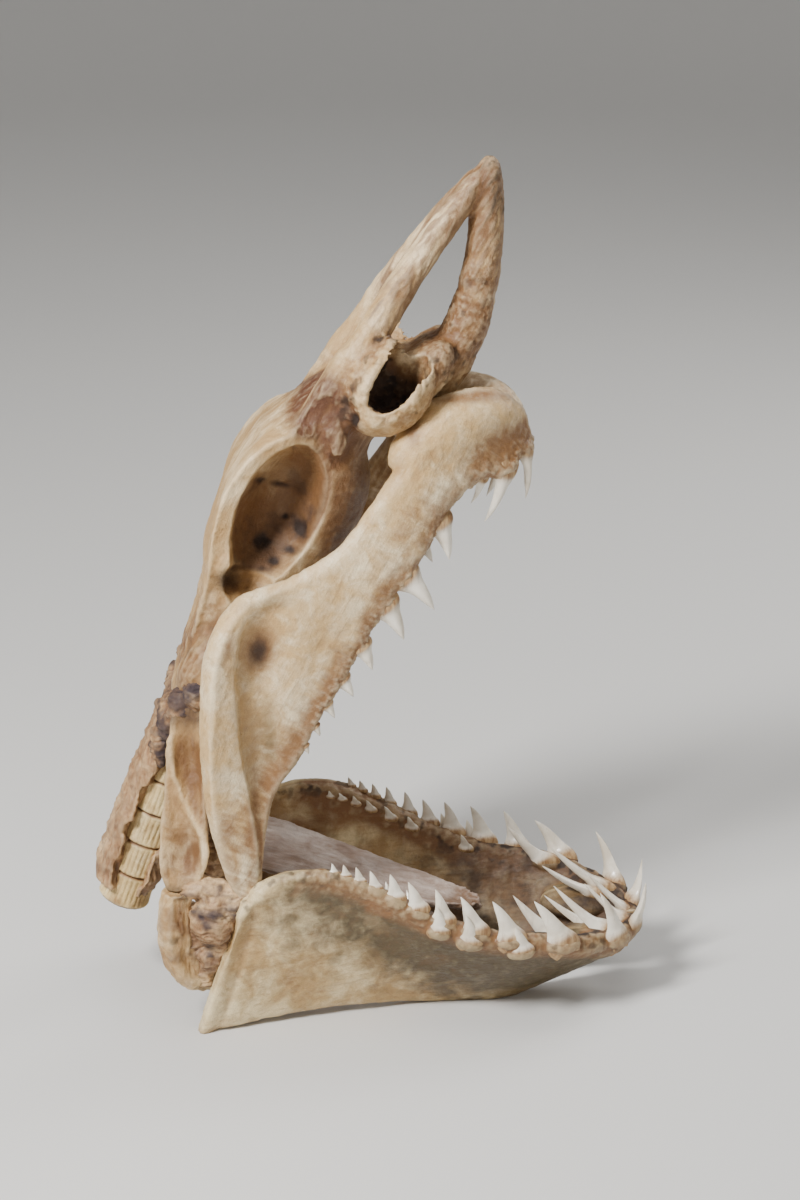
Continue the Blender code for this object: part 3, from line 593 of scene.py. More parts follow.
def line_distance(points, line):
    """Distance in any number of dimensions from points to a polyline, and the place on it."""
    line = np.asarray(line, float)
    best = np.full(len(points), 1e9)
    where = np.zeros(len(points))
    for k in range(len(line) - 1):
        a, d = line[k], line[k + 1] - line[k]
        t = np.clip(((points - a) @ d) / (d @ d), 0, 1)
        gap = np.linalg.norm(points - a - t[:, None] * d, axis=1)
        closer = gap < best
        best = np.where(closer, gap, best)
        where = np.where(closer, k + t, where)
    return best, where


def picture(points):
    """Where points fall in the 800 by 1200 picture, the left side seen as if mirrored."""
    p = np.array(points, float)
    p[:, 1] = -np.abs(p[:, 1])
    se, ce = math.sin(VIEW_ELEVATION), math.cos(VIEW_ELEVATION)
    ahead, above = np.array((0, ce, -se)), np.array((0, se, ce))
    q = p - (VIEW_TARGET - ahead * VIEW_DISTANCE)
    scale = PIXELS_PER_MM * VIEW_DISTANCE / (q @ ahead)
    return np.stack([400 + scale * q[:, 0], 600 - scale * (q @ above)], 1)


def to_half(points):
    """Points in the head's directions, both sides laid on one."""
    h = to_head(points)
    h[:, 1] = np.abs(h[:, 1])
    return h


def reach_in(h, sizes):
    """How far points lie from a ball's centre, 1 on its surface, its turn left out."""
    return np.linalg.norm((h - sizes[0]) / sizes[1], axis=1)


def outward(skin):
    """How far each normal turns away from the skull's middle plane, from -1 to 1."""
    return skin.normals[:, 1] * np.sign(skin.points[:, 1])


def spots(px, marks):
    """Soft marks at picture places: x, y, radius across, radius down, turn, strength."""
    total = np.zeros(len(px))
    for x, y, rx, ry, turn, strength in marks:
        a = math.radians(turn)
        d = px - (x, y)
        u = (d[:, 0] * math.cos(a) + d[:, 1] * math.sin(a)) / rx
        v = (d[:, 1] * math.cos(a) - d[:, 0] * math.sin(a)) / ry
        total = np.maximum(total, strength * np.exp(-(u * u + v * v)))
    return total


# Materials


def rgb(red, green, blue):
    """A colour given as it looks on screen, from 0 to 255, as linear values."""
    out = []
    for value in (red, green, blue):
        c = value / 255
        out.append(c / 12.92 if c <= 0.04045 else ((c + 0.055) / 1.055) ** 2.4)
    return (*out, 1.0)


class Nodes:
    """Short calls for building one material."""

    def __init__(self, name):
        self.material = bpy.data.materials.new(name)
        self.material.use_nodes = True
        self.tree = self.material.node_tree
        self.shader = self.tree.nodes["Principled BSDF"]
        self.coords = self.add("TexCoord", "Object", {})

    def link(self, value, socket):
        if isinstance(value, bpy.types.NodeSocket):
            self.tree.links.new(value, socket)
        else:
            socket.default_value = value

    def add(self, kind, output, sockets, **settings):
        """Adds a node with these settings and input sockets, and gives back one output."""
        made = self.tree.nodes.new("ShaderNode" + kind)
        for name, value in settings.items():
            setattr(made, name, value)
        for name, value in sockets.items():
            self.link(value, made.inputs[name])
        return made.outputs[output]

    def noise(self, scale, detail=4.0, rough=0.55, distort=0.0, stretch=None, turn=0.0):
        """A noise texture, drawn out along the z axis once that has turned about y."""
        source = self.coords
        if stretch:
            sockets = {"Vector": source, "Scale": (1, 1, stretch), "Rotation": (0, turn, 0)}
            source = self.add("Mapping", "Vector", sockets, vector_type="TEXTURE")
        return self.add("TexNoise", "Fac", {"Vector": source, "Scale": scale, "Detail": detail,
                                            "Roughness": rough, "Distortion": distort})

    def mark(self, name):
        return self.add("Attribute", "Fac", {}, attribute_name=name)

    def plus(self, a, b, clamp=False):
        return self.add("Math", 0, {0: a, 1: b}, operation="ADD", use_clamp=clamp)

    def times(self, a, b):
        return self.add("Math", 0, {0: a, 1: b}, operation="MULTIPLY")

    def ramp(self, value, low, high, out_low=0.0, out_high=1.0):
        sockets = {"Value": value, "From Min": low, "From Max": high, "To Min": out_low,
                   "To Max": out_high}
        return self.add("MapRange", "Result", sockets, interpolation_type="SMOOTHSTEP")

    def mix(self, factor, a, b):
        return self.add("Mix", "Result", {"Factor": factor, "A": a, "B": b}, data_type="RGBA")

    def bump(self, height, strength, distance):
        sockets = {"Strength": strength, "Distance": distance, "Height": height}
        self.shade("Normal", self.add("Bump", "Normal", sockets))

    def shade(self, name, value):
        self.link(value, self.shader.inputs[name])

    def patchy(self, mark, pattern, low, high, reach):
        """A mark broken up by a pattern, so that its edge is ragged."""
        sockets = {0: pattern, 1: reach, 2: -0.5 * reach}
        moved = self.add("Math", 0, sockets, operation="MULTIPLY_ADD")
        return self.ramp(self.plus(mark, moved), low, high)


def dried(name, pale, mid, stain, deep, rough, grain, fleck, veil=None, turn=0.5):
    """Dried cartilage or tissue: broad mottling, ragged stains, painted shade in its hollows and
    creases.
    """
    pale, mid, stain, deep = (rgb(*colour) for colour in (pale, mid, stain, deep))
    n = Nodes(name)
    broad = n.noise(14, 3, 0.5, 0.4)
    middle = n.noise(62, 7, 0.64, 0.6)
    small = n.noise(240, 6, 0.66, 0.4)
    fine = n.noise(1300, 4, 0.6)
    mottle = n.plus(broad, n.times(middle, 0.8))
    fibre = n.noise(430, 5, 0.62, 0.3, 9.0, turn)
    base = n.mix(n.ramp(mottle, 0.66, 1.04), pale, mid)
    base = n.mix(n.times(n.ramp(fibre, 0.5, 0.72), 0.4), base, stain)
    cloud = n.ramp(n.noise(34, 6, 0.66, 1.0), 0.54, 0.72)
    base = n.mix(n.times(cloud, 0.45), base, stain)
    base = n.mix(n.times(n.ramp(small, 0.58, 0.72), fleck), base, stain)
    if veil:
        base = n.mix(n.patchy(n.mark("veil"), middle, 0.2, 0.95, 0.6), base, rgb(*veil))
    base = n.mix(n.patchy(n.mark("stain"), middle, 0.15, 1.0, 0.6), base, stain)
    # Painted shade: the stain colour laid into the broad hollows (shade) and the creases (hollow)
    # of the form.
    base = n.mix(n.times(n.mark("shade"), 0.6), base, stain)
    base = n.mix(n.times(n.mark("hollow"), 0.5), base, stain)
    base = n.mix(n.times(n.mark("worn"), 0.35), base, pale)
    base = n.mix(n.patchy(n.mark("deep"), small, 0.1, 1.0, 0.4), base, deep)
    base = n.mix(n.ramp(fine, 0.3, 0.7, 0.0, 0.16), base, deep)
    n.shade("Base Color", base)
    dull = n.times(n.mark("deep"), 0.3)
    dull = n.plus(dull, n.ramp(middle, 0.3, 0.7, rough - 0.14, rough + 0.12), True)
    n.shade("Roughness", dull)
    height = n.plus(n.times(small, 0.6), n.times(fine, 0.2))
    height = n.plus(height, n.times(fibre, 0.35))
    n.bump(height, grain, 0.002)
    return n.material


def enamel():
    """Tooth: glossy ivory-white crown, with a rough tan root below it."""
    n = Nodes("tooth")
    broad = n.noise(60, 3, 0.5, 0.5)
    lines = n.noise(420, 4, 0.6, 0.3, 6.0)
    crown = n.mix(n.ramp(broad, 0.35, 0.7), rgb(240, 232, 216), rgb(214, 202, 182))
    crown = n.mix(n.ramp(lines, 0.55, 0.75, 0, 0.3), crown, rgb(160, 142, 120))
    root = n.mix(n.ramp(lines, 0.3, 0.7), rgb(192, 160, 116), rgb(134, 98, 62))
    share = n.patchy(n.mark("root"), lines, 0.0, 1.0, 0.3)
    n.shade("Base Color", n.mix(share, crown, root))
    n.shade("Roughness", n.ramp(share, 0, 1, 0.2, 0.6))
    n.bump(lines, 0.12, 0.0005)
    return n.material


# Teeth


def tooth_shell(root, crown, across, bend, height, width, draw):
    """A tooth with a lens-shaped crown, sharp edges and a two-lobed root."""
    crown = unit(crown)
    across = unit(across - crown * (across @ crown))
    through = unit(np.cross(crown, across))
    slender = min(1.0, 2.0 * width / height)
    profile = np.array([
        (-ROOT_SHARE, 0.84, 0.50),
        (-0.10, 1.12, 0.58),
        (0.04, 1.08, 0.55),
        (0.15, 0.82, 0.49),
        (0.27, 0.61 * slender, 0.43),
        (0.50, 0.44 * slender, 0.36),
        (0.78, 0.25 * slender, 0.24),
        (0.95, 0.075 * slender, 0.09),
        (1.0, 0.012, 0.012),
    ])
    rows = spline(profile, np.linspace(0, len(profile) - 1, 34))
    turn = np.linspace(0, 2 * np.pi, TOOTH_SIDES, endpoint=False)
    cos, sin = np.cos(turn)[None, :, None], np.sin(turn)[None, :, None]
    rise = rows[:, 0][:, None, None]
    sharp = ease(0.0, 0.25, rows[:, 0])[:, None, None]
    lens = np.sign(sin) * np.abs(sin) ** (1 + 0.7 * sharp)
    lens = np.where(sin > 0, lens, lens * (1 - 0.35 * sharp))
    lobes = (1 - ease(-0.05, 0.22, rows[:, 0]))[:, None, None]
    lifted = rise - 0.16 * lobes * (np.abs(cos) ** 1.5 - 0.4)
    wobble = 1 + draw.uniform(-0.04, 0.04)
    centre = root + crown * (lifted * height)
    centre = centre + bend * (TOOTH_BEND * height * np.maximum(rise, 0) ** 2)
    centre = centre - bend * (0.03 * height * np.sin(np.pi * np.clip(rise, 0, 1)))
    rings = centre + across * (0.5 * width * wobble * rows[:, 1][:, None, None] * cos)
    rings = rings + through * (0.5 * width * rows[:, 2][:, None, None] * lens)
    share = 1 - ease(-0.1, 0.26, rows[:, 0])
    share = np.concatenate([np.repeat(share, TOOTH_SIDES), (1.0, 0.0)])
    spread = np.concatenate([np.tile(np.abs(np.cos(turn)) * 0.35, len(rows)), (0, 0)])
    return grid_shell(rings), share + spread * share


def edge_at(rows, x):
    """A blade's high edge where it crosses x: its point, and the unit chord, normal and run."""
    low, high = 0.0, len(rows) - 1.0
    for _ in range(30):
        middle = 0.5 * (low + high)
        if spline(rows, middle)[0, 3] < x:
            low = middle
        else:
            high = middle
    values, chord, normal, run = (v[0] for v in blade_frame(rows, np.array([low])))
    return values[3:6], unit(chord), normal, run


def row_seats(rows, teeth, up, draw, forward, out_by, down_by):
    """Root, crown, across, bend, height and width of each tooth of a row."""
    rows = flat(rows)
    seats = []
    for index, (x, height, width, lean, splay) in enumerate(teeth):
        edge, chord, normal, run = edge_at(rows, x + forward * min(1.0, index / 3))
        size = 1 + draw.uniform(-SIZE_SPREAD, SIZE_SPREAD)
        tilt = math.radians(lean + draw.uniform(-TURN_SPREAD, TURN_SPREAD))
        out = math.radians(splay)
        crown = np.array((math.sin(tilt), -math.sin(out), up * math.cos(tilt)))
        root = edge - chord * down_by + normal * out_by
        bend = np.array((-0.7 * math.cos(tilt), 0.5, 0.7 * up * math.sin(tilt)))
        seats.append((root, crown, run, bend, height * size, width * size))
    return seats


def reserve_seats(rows, draw):
    """The big teeth that lie in wait inside the front of the lower row."""
    rows = flat(rows)
    seats = []
    for index, row, size in LOWER_RESERVE:
        x, height, width, _, _ = LOWER_TEETH[index]
        edge, _, _, run = edge_at(rows, x)
        root = edge + np.array((-0.6, 0.8, 0)) * (RESERVE_STEP * row) + (0, 0, -1.5 * row)
        lean = math.radians(RESERVE_LEAN + RESERVE_LEAN_STEP * (row - 1)
                            + draw.uniform(-TURN_SPREAD, TURN_SPREAD))
        crown = np.array((-math.sin(lean), 0.12, math.cos(lean)))
        bend = np.array((-0.5 * math.cos(lean), 0.1, 0.9))
        seats.append((root, crown, run, bend, height * size, width * size * 0.9))
    return seats


def small_seats(rows, draw, drop):
    """A second row of small teeth, this far below the rim inside the back of the lower row."""
    rows = flat(rows)
    seats = []
    for index, size in SMALL_RESERVE:
        x, height, width, _, _ = LOWER_TEETH[index]
        edge, chord, normal, run = edge_at(rows, x - 3)
        root = edge - normal * SMALL_INWARD - chord * drop
        crown = np.array((draw.uniform(-0.3, 0.0), 0.5, draw.uniform(0.7, 0.9)))
        seats.append((root, crown, run, np.array((-0.5, 0.2, 0.4)), height * size, width * size))
    return seats


def teeth_piece(name, seats, side, material):
    draw = random.Random(len(name) + side)
    shells, shares = [], []
    for root, crown, across, bend, height, width in seats:
        shell, share = tooth_shell(*(mirrored(v, side) for v in (root, crown, across, bend)),
                                   height, width, draw)
        shells.append(shell)
        shares.append(share)
    obj = new_object(name, mesh_of(name, shells))
    paint(obj.data, "root", np.concatenate(shares))
    inside = np.clip(read(obj.data.vertices, "co"), *cad_box)
    obj.data.vertices.foreach_set("co", inside.astype(np.float32).ravel())
    obj.data.shade_smooth()
    dress(obj, material, "jaw")


# Pieces


def dress(obj, material, slot, *nodes):
    """Gives a piece its material and hides the solids whose place it takes. The slot is not used.
    """
    obj.data.materials.clear()
    obj.data.materials.append(material)
    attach(obj, "root")
    if nodes:
        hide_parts(*nodes)


def lower_rows(side):
    """The lower jaw's table, whose left row stands a little higher."""
    if side < 0:
        return LOWER_JAW
    rows = []
    for low, high, *rest in LOWER_JAW:
        lift = LEFT_ROW_LIFT * min(max((high[0] - 20) / 60, 0), 1)
        if high[0] > 130:
            lift *= 0.5
        rows.append((low, (high[0], high[1], high[2] + lift), *rest))
    return rows


def socket_shells(seats, side, sunk):
    """The lump of jaw round each tooth's root."""
    shells = []
    for root, crown, across, _, height, width in seats:
        crown, across = unit(crown), unit(across)
        through = unit(np.cross(crown, across))
        centre = root - crown * (2.0 + sunk)
        columns = [mirrored(v, side) for v in (across, through, crown)]
        axes = (0.6 * width, 0.36 * width, 3.0 + 0.1 * height)
        shells.append(ball(mirrored(centre, side), axes, columns, 20, 12))
    return shells


def lower_jaw(side, word, cartilage, tooth):
    """One half of the lower jaw, with its outer face in a dark veil below the teeth, partly its
    olive-brown band and partly painted shade.
    """
    draw = random.Random(LOWER_SEED + side)
    rows = lower_rows(side)
    forward = LEFT_ROW_FORWARD if side > 0 else 0.0
    seats = row_seats(rows, LOWER_TEETH, 1, draw, forward, *LOWER_SEAT)
    reserve = reserve_seats(rows, draw)
    outer = row_seats(rows, OUTER_TEETH, 1, draw, forward, *OUTER_SEAT)
    small = small_seats(rows, draw, SMALL_DROP_LEFT if side > 0 else SMALL_DROP_RIGHT)
    shells = [blade(rows, side), side_ball(*GUM_PAD, side)]
    shells += socket_shells(seats, side, 1.5) + socket_shells(reserve, side, 1.0)
    shells += socket_shells(outer, side, 0.5)
    skin = fused(f"lower_jaw_{word}_bone", shells)
    skin.fillet(45, 1.2)
    places = rod(rows, 60)
    p = skin.points
    x, z = p[:, 0], p[:, 2]
    near, _ = line_distance(p, mirrored(places[:, 3:6], side))
    low, _ = line_distance(p, mirrored(places[:, :3], side))
    rear, _ = line_distance(p, mirrored([places[0, :3], places[0, 3:6]], side))
    face = ease(-0.1, 0.3, outward(skin))
    bed = ease(20, 4, near)
    streaks = noise(p, 2.6, 5, 3, (11, 1, 1.4))
    crest = ease(20, -20, x) * face
    skin.push(
        0.4 * noise(p, 16, 1) + 0.2 * noise(p, 4, 2, 4) + 0.3 * bed * noise(p, 2.6, 3)
        + 0.2 * (1 - face) * streaks + 0.7 * (1 - face) * noise(p, 9, 6, 2, (1, 1, 2.5))
        + crest * (1.4 * ease(9, 3, near) - 1.8 * np.exp(-(((near - 22) / 12) ** 2)))
        + face * (0.9 * ease(8, 5, rear) - 0.9 * np.exp(-(((rear - 11) / 2.5) ** 2))))
    # Stains; the band along the bottom edge of the outer face is painted shade.
    stain = (
        (1 - face) * (0.6 + 0.4 * noise(p, 20, 8, 3, (2, 1, 1)))
        + 0.75 * ease(22, 8, near) * ease(-75, -45, x)
        + 0.3 * ease(12, 4, rear) * face + 0.25 * ease(12, 2, low) * face
        + 0.35 * face * ease(0.2, 0.8, noise(p, 18, 9)))
    # The inner face darkens towards the front and the bottom: painted shade inside the mouth, over
    # streaks of its brown colour.
    deep = (
        (1 - face) * (0.35 * ease(-20, 70, x) + 0.28 * ease(90, 50, z)
                      + 0.2 * ease(-0.2, 0.9, 0.5 * streaks + noise(p, 12, 7)))
        + 0.6 * bed * ease(0.1, 0.8, noise(p, 5, 10)))
    # Veil: the olive-brown band below the teeth, widened over the outer face and darkened towards
    # the front as painted shade.
    veil = face * (
        ease(96, 12, near) * (0.9 + 0.15 * noise(p, 26, 17)) * ease(-115, -30, x)
        + 0.35 * ease(-30, 50, x) + 0.2 * ease(-0.4, 0.8, noise(p, 9, 18, 4)))
    skin.finish(stain=stain, deep=deep, veil=veil)
    dress(skin.obj, cartilage, "jaw", f"lower_jaw_{word}")
    teeth_piece(f"teeth_lower_{word}", seats + outer, side, tooth)
    teeth_piece(f"teeth_reserve_{word}", reserve + small, side, tooth)


def upper_jaw(side, word, cartilage, tooth):
    """One half of the upper jaw, with its fossa, ragged gum edge and stains, and painted shade in
    the fossa.
    """
    draw = random.Random(UPPER_SEED + side)
    seats = row_seats(UPPER_JAW, UPPER_TEETH, -1, draw, 0.0, *UPPER_SEAT)
    shells = [blade(UPPER_JAW, side, 170, 60), tube(rod(PALATINE_ROLL), side)]
    shells += socket_shells(seats, side, 1.0)
    skin = fused(f"upper_jaw_{word}_bone", shells)
    skin.fillet(30, 1.2)
    front = ease(-10, 5, skin.points[:, 0]) * ease(335, 345, skin.points[:, 2])
    edge = spline(flat(UPPER_JAW), np.linspace(6, len(UPPER_JAW) - 1, 30))[:, 3:6]
    front = front * ease(9, 18, line_distance(skin.points, mirrored(edge, side))[0])
    front = front * ease(0.0, 0.3, outward(skin))
    for _ in range(2):
        skin.relax(120, 0.9 * skin.average(front, 10))
    skin.write()
    p = skin.points
    places = rod(UPPER_JAW, 60)
    near, where = line_distance(p, mirrored(places[:, 3:6], side))
    px = picture(p)
    face = ease(-0.1, 0.3, outward(skin))
    bed = ease(16, 3, near) * ease(10, 22, where)
    streaks = noise(to_head(p), 1.8, 15, 3, (9, 1.4, 1))
    fossa = spots(px, [(259, 655, 19, 44, 10, 1.0), (257, 745, 15, 52, -6, 0.9)])
    swell = spots(px, [(302, 650, 16, 70, 14, 1.0)])
    fringe = ease(26, 6, near) * ease(8, 20, where)
    threads = noise(to_head(p), 1.9, 20, 3, (1, 1.2, 7))
    skin.push(
        0.4 * noise(p, 22, 11) + 0.2 * noise(p, 4, 12, 4) + face * (1.3 * swell - 4.2 * fossa)
        + bed * (0.5 * noise(p, 3.6, 13) + 0.25 * noise(p, 1.6, 16))
        + 0.35 * (1 - face) * streaks + 0.5 * fringe * threads)
    stain = (
        0.75 * ease(24, 5, near) * (0.85 + 0.4 * noise(p, 9, 14)) + 0.6 * (1 - face)
        + 0.55 * ease(46, 10, near) * (0.4 + 0.5 * threads + 0.4 * noise(p, 12, 18))
        + face * spots(px, UPPER_STAINS))
    # The first pit and the veil darken the fossa beside the ridge: partly a brown smudge, partly
    # painted shade of the hollow.
    pits = [(261, 655, 12, 18, 10, 1.0), (258, 870, 14, 20, 0, 0.6), (515, 395, 18, 8, 20, 0.7)]
    deep = 0.9 * spots(px, pits) * face + 0.4 * bed * ease(0.1, 0.9, noise(p, 4, 19))
    veil = face * spots(px, [(270, 740, 14, 60, -4, 0.7), (275, 600, 30, 14, -20, 0.5)])
    skin.finish(stain=stain, deep=deep, veil=veil)
    dress(skin.obj, cartilage, "jaw", f"upper_jaw_{word}")
    teeth_piece(f"teeth_upper_{word}", seats, side, tooth)


def cranium(cartilage):
    """The braincase, its capsules and the three rods of the snout, grown together."""
    shells = [cranium_shell(), head_tube(MEDIAL_ROD, -1), head_ball(INTERNASAL, -1)]
    cutters = []
    for side in (-1, 1):
        shells.append(head_tube(LATERAL_ROD, side))
        shells.append(head_tube(PREORBITAL, side))
        for sizes in (NASAL_CAPSULE, OTIC_CAPSULE, POSTORBITAL, ROSTRAL_WEB):
            shells.append(head_ball(sizes, side))
        for seed, sizes in enumerate((ORBIT, POSTORBITAL_NOTCH, PREORBITAL_HOLLOW)):
            cutters.append(roughened(head_ball(sizes, side, 96, 60), 0.5, 9, seed))
        cutters.append(head_ball(NASAL_HOLLOW, side))
        cutters.append(roughened(head_ball(NASAL_OPENING, side, 96, 60), 1.5, 6, 7))
    skin = fused("cranium_bone", shells, cutters, smooth=5)
    skin.fillet(40, 1.3, 3)
    h = to_half(skin.points)
    inside = ease(1.1, 1.0, reach_in(h, ORBIT)) * ease(42, 34, h[:, 1])
    hollow = ease(1.4, 1.1, reach_in(h, PREORBITAL_HOLLOW))
    skin.relax(60, np.maximum(inside, 0.4 * hollow))
    skin.write()
    p = skin.points
    h = to_half(p)
    along, aside, above = h.T
    px = picture(p)
    out = outward(skin)
    socket = ease(1.1, 1.0, reach_in(h, ORBIT)) * ease(50, 42, aside)
    nasal = reach_in(h, NASAL_CAPSULE)
    front = ease(200, 225, along)
    crust = ease(1.4, 1.0, nasal) * ease(208, 230, along)
    crust = np.maximum(crust, front * ease(6, -14, above) * ease(350, 300, along))
    cave = ease(0.92, 0.8, nasal) * ease(205, 215, along)
    around = (h - NASAL_OPENING[0]) / NASAL_OPENING[1]
    rim = np.hypot(around[:, 0] + 0.2 * around[:, 2], around[:, 2]) + 0.06 * noise(p, 6, 30)
    rim = np.where((aside > 34) & (cave < 0.5), rim, 9)
    lip = np.exp(-(((rim - 1.22) / 0.2) ** 2))
    ditch = np.exp(-(((rim - 1.75) / 0.25) ** 2)) * ease(-4, 8, above)
    wall = spots(px, [(318, 405, 38, 34, -40, 1.0), (345, 440, 24, 20, 0, 0.9)]) * (1 - lip)
    spike = line_distance(h, [row[:3] for row in PREORBITAL])[0]
    wall = (1.5 * wall + 1.2 * ease(1.25, 0.95, reach_in(h, PREORBITAL_HOLLOW))
            + ease(13, 8, spike))
    wall = skin.average(np.clip(wall, 0, 1) * ease(-0.3, 0.2, out), 16)
    pits = spots(px, ORBIT_HOLES) * ease(0.0, 0.3, out) * socket
    window = spots(px, [(354, 421, 5, 8, 20, 1)]) * ease(0.1, 0.4, out)
    rods = ease(235, 275, along) * (1 - 0.5 * crust)
    fibre = noise(h, 1.9, 25, 3, (16, 1, 1))
    back = ease(100, 60, along)
    skin.push(
        0.45 * noise(p, 20, 21) + 0.25 * (1 - socket) * noise(p, 5, 22, 4)
        + 0.9 * lip * (1 + noise(p, 5, 42)) - 0.5 * ditch
        + crust * (0.3 * noise(p, 3.4, 24) + 0.5 * noise(p, 9, 26) + 0.25 * noise(p, 1.6, 23))
        + 0.45 * rods * fibre + wall * (0.5 * noise(h, 3.5, 28, 3, (3, 1, 1)) - 0.5)
        + 1.2 * cave * noise(p, 5, 29) - 1.5 * pits - 2.5 * window
        + back * (0.8 * noise(p, 10, 31) + 0.5 * noise(h, 3, 32, 3, (4, 1, 1))))
    patches = [(262, 415, 40, 12, -50, 1.0), (450, 350, 30, 30, 0, 0.8)]
    stain = (
        0.85 * socket + 0.6 * crust * (0.6 + 0.6 * noise(p, 9, 37)) + 0.9 * cave - 0.3 * lip
        + 0.5 * ease(20, -25, above) * (1 - front)
        + back * (0.65 + 0.5 * noise(h, 12, 38, 3, (2, 1, 1)))
        + rods * (0.95 + 0.7 * fibre + 0.3 * noise(h, 14, 33, 3, (3, 1, 1))
                  - 0.7 * ease(20, 29, above))
        + 0.5 * ease(335, 365, along) * (0.5 + 0.5 * noise(p, 8, 34))
        + 0.8 * spots(px, [(345, 505, 22, 60, 8, 1.0)]) * (1 - socket) + 0.5 * spots(px, patches))
    deep = (
        pits * (0.8 + 0.4 * noise(p, 4, 41)) + 0.9 * window + 0.75 * cave
        + socket * (0.12 + 0.25 * ease(26, -4, above) + 0.3 * ease(135, 105, along))
        + 0.3 * socket * ease(0.2, 0.9, noise(p, 13, 27))
        + 0.5 * ditch * ease(0, 0.6, noise(p, 5, 39))
        + 0.55 * crust * ease(0.15, 0.8, noise(p, 5, 35))
        + 0.4 * rods * ease(0.1, 0.9, fibre)
        + 0.35 * rods * ease(335, 350, along) * ease(18, 8, above)
        + 0.4 * back * ease(0.1, 0.8, noise(p, 8, 40))
        + 0.3 * wall * ease(-0.1, 0.7, noise(p, 9, 43))
        + 0.9 * spots(px, [(228, 580, 16, 14, 0, 1.0)]))
    veil = 0.85 * wall + 0.3 * ease(0.2, 0.9, noise(p, 22, 36))
    skin.finish(stain=stain, deep=deep, veil=veil)
    dress(skin.obj, cartilage, "cartilage", "cranium", "rostrum_medial",
          "rostrum_lateral_right", "rostrum_lateral_left")


def backbone(cartilage, flesh):
    """Fluted centra with raised rims, with rough tissue along their two sides."""
    run = unit(SPINE_END - SPINE_TOP)
    steps = CENTRA * 34
    length = np.linalg.norm(SPINE_END - SPINE_TOP)
    share = np.linspace(0, 1, steps + 1)
    phase = (share * CENTRA) % 1.0
    rim = np.minimum(phase, 1 - phase)
    radius = CENTRUM_RADIUS * (1 - 0.075 * np.sin(np.pi * phase) ** 0.8)
    radius = radius - 1.6 * np.exp(-((rim / 0.045) ** 2))
    sides = 180
    turn = np.linspace(0, 2 * np.pi, sides, endpoint=False)
    across = np.cross(run, (0, 1, 0))
    flutes = 0.55 * np.abs(np.sin(turn * 15)) ** 0.7
    body = np.sin(np.pi * phase) ** 0.5
    grown = radius[:, None] - 0.55 + flutes[None, :] * body[:, None]
    cos, sin = np.cos(turn)[None, :, None], np.sin(turn)[None, :, None]
    offset = across * cos + np.array((0, 1, 0)) * sin
    centre = SPINE_TOP + run * (share * length)[:, None]
    rings = centre[:, None] + offset * grown[..., None]
    column = Skin(new_object("centra", mesh_of("centra", [grid_shell(rings)])))
    p = column.points
    column.push(0.18 * noise(p, 3, 41) + 0.2 * noise(p, 9, 42))
    seam = np.concatenate([np.repeat(np.exp(-((rim / 0.06) ** 2)), sides), (0, 0)])
    crack = np.concatenate([np.repeat(0.8 * np.exp(-((rim / 0.03) ** 2)), sides), (0, 0)])
    column.finish(5, stain=0.25 + 0.35 * noise(p, 11, 43) + 0.75 * seam, deep=crack)
    dress(column.obj, cartilage, "vertebra", "vertebral_column")
    shells = [tube(SPINE_TISSUE, -1, 60)]
    top, end, radius_top, radius_end = NEURAL_ARCH
    shells.append(tube(np.linspace((*top, radius_top), (*end, radius_end), 60), -1))
    cutters = []
    for side in (-1, 1):
        middle = mirrored((-153, -25, 106), side)
        cutter = ball(middle, (12.5, 21, 60), [across, (0, 1, 0), run], 96, 90)
        cutters.append(roughened(cutter, 3.2, 7, side))
    tissue = fused("spine_tissue", shells, cutters)
    tissue.fillet(30, 1.0)
    p = tissue.points
    strands = noise(p, 2.4, 45, 3, (1, 1, 3.5))
    tissue.push(1.1 * noise(p, 9, 44) + 1.0 * strands)
    tissue.finish(
        10, stain=0.3 + 0.4 * noise(p, 12, 46) + 0.4 * strands,
        deep=0.45 * ease(0.2, 0.9, noise(p, 6, 47)) + 0.6 * ease(165, 190, p[:, 2]))
    dress(tissue.obj, flesh, "tissue")


def tongue(material):
    """The grey plate between the lower jaws."""
    rows = rod(TONGUE, 100)
    turn = np.linspace(0, 2 * np.pi, 90, endpoint=False)
    c, face = -np.cos(turn), np.sin(turn)
    wide, high, thick = (rows[:, k : k + 1] for k in (1, 2, 3))
    lift = TONGUE_DIP * c * c - TONGUE_DIP
    up = high + lift + 0.5 * thick * np.sign(face) * np.abs(face) ** 0.6
    rings = np.stack([rows[:, 0:1] + 0 * c, wide * c, up], -1)
    skin = fused("tongue_plate", [grid_shell(rings)], smooth=2)
    p = skin.points
    wrinkle = noise(p, 2.4, 51, 3, (5, 1, 1))
    tip = ease(20, 50, p[:, 0])
    skin.push(0.5 * noise(p, 10, 52) + 0.35 * wrinkle + 1.2 * tip * noise(p, 3, 53))
    skin.finish(8, stain=0.25 + 0.4 * noise(p, 14, 54) + 0.5 * ease(0, 45, p[:, 0]),
                deep=0.3 * ease(0.2, 0.8, noise(p, 8, 55)))
    dress(skin.obj, material, "tongue", "basihyal")


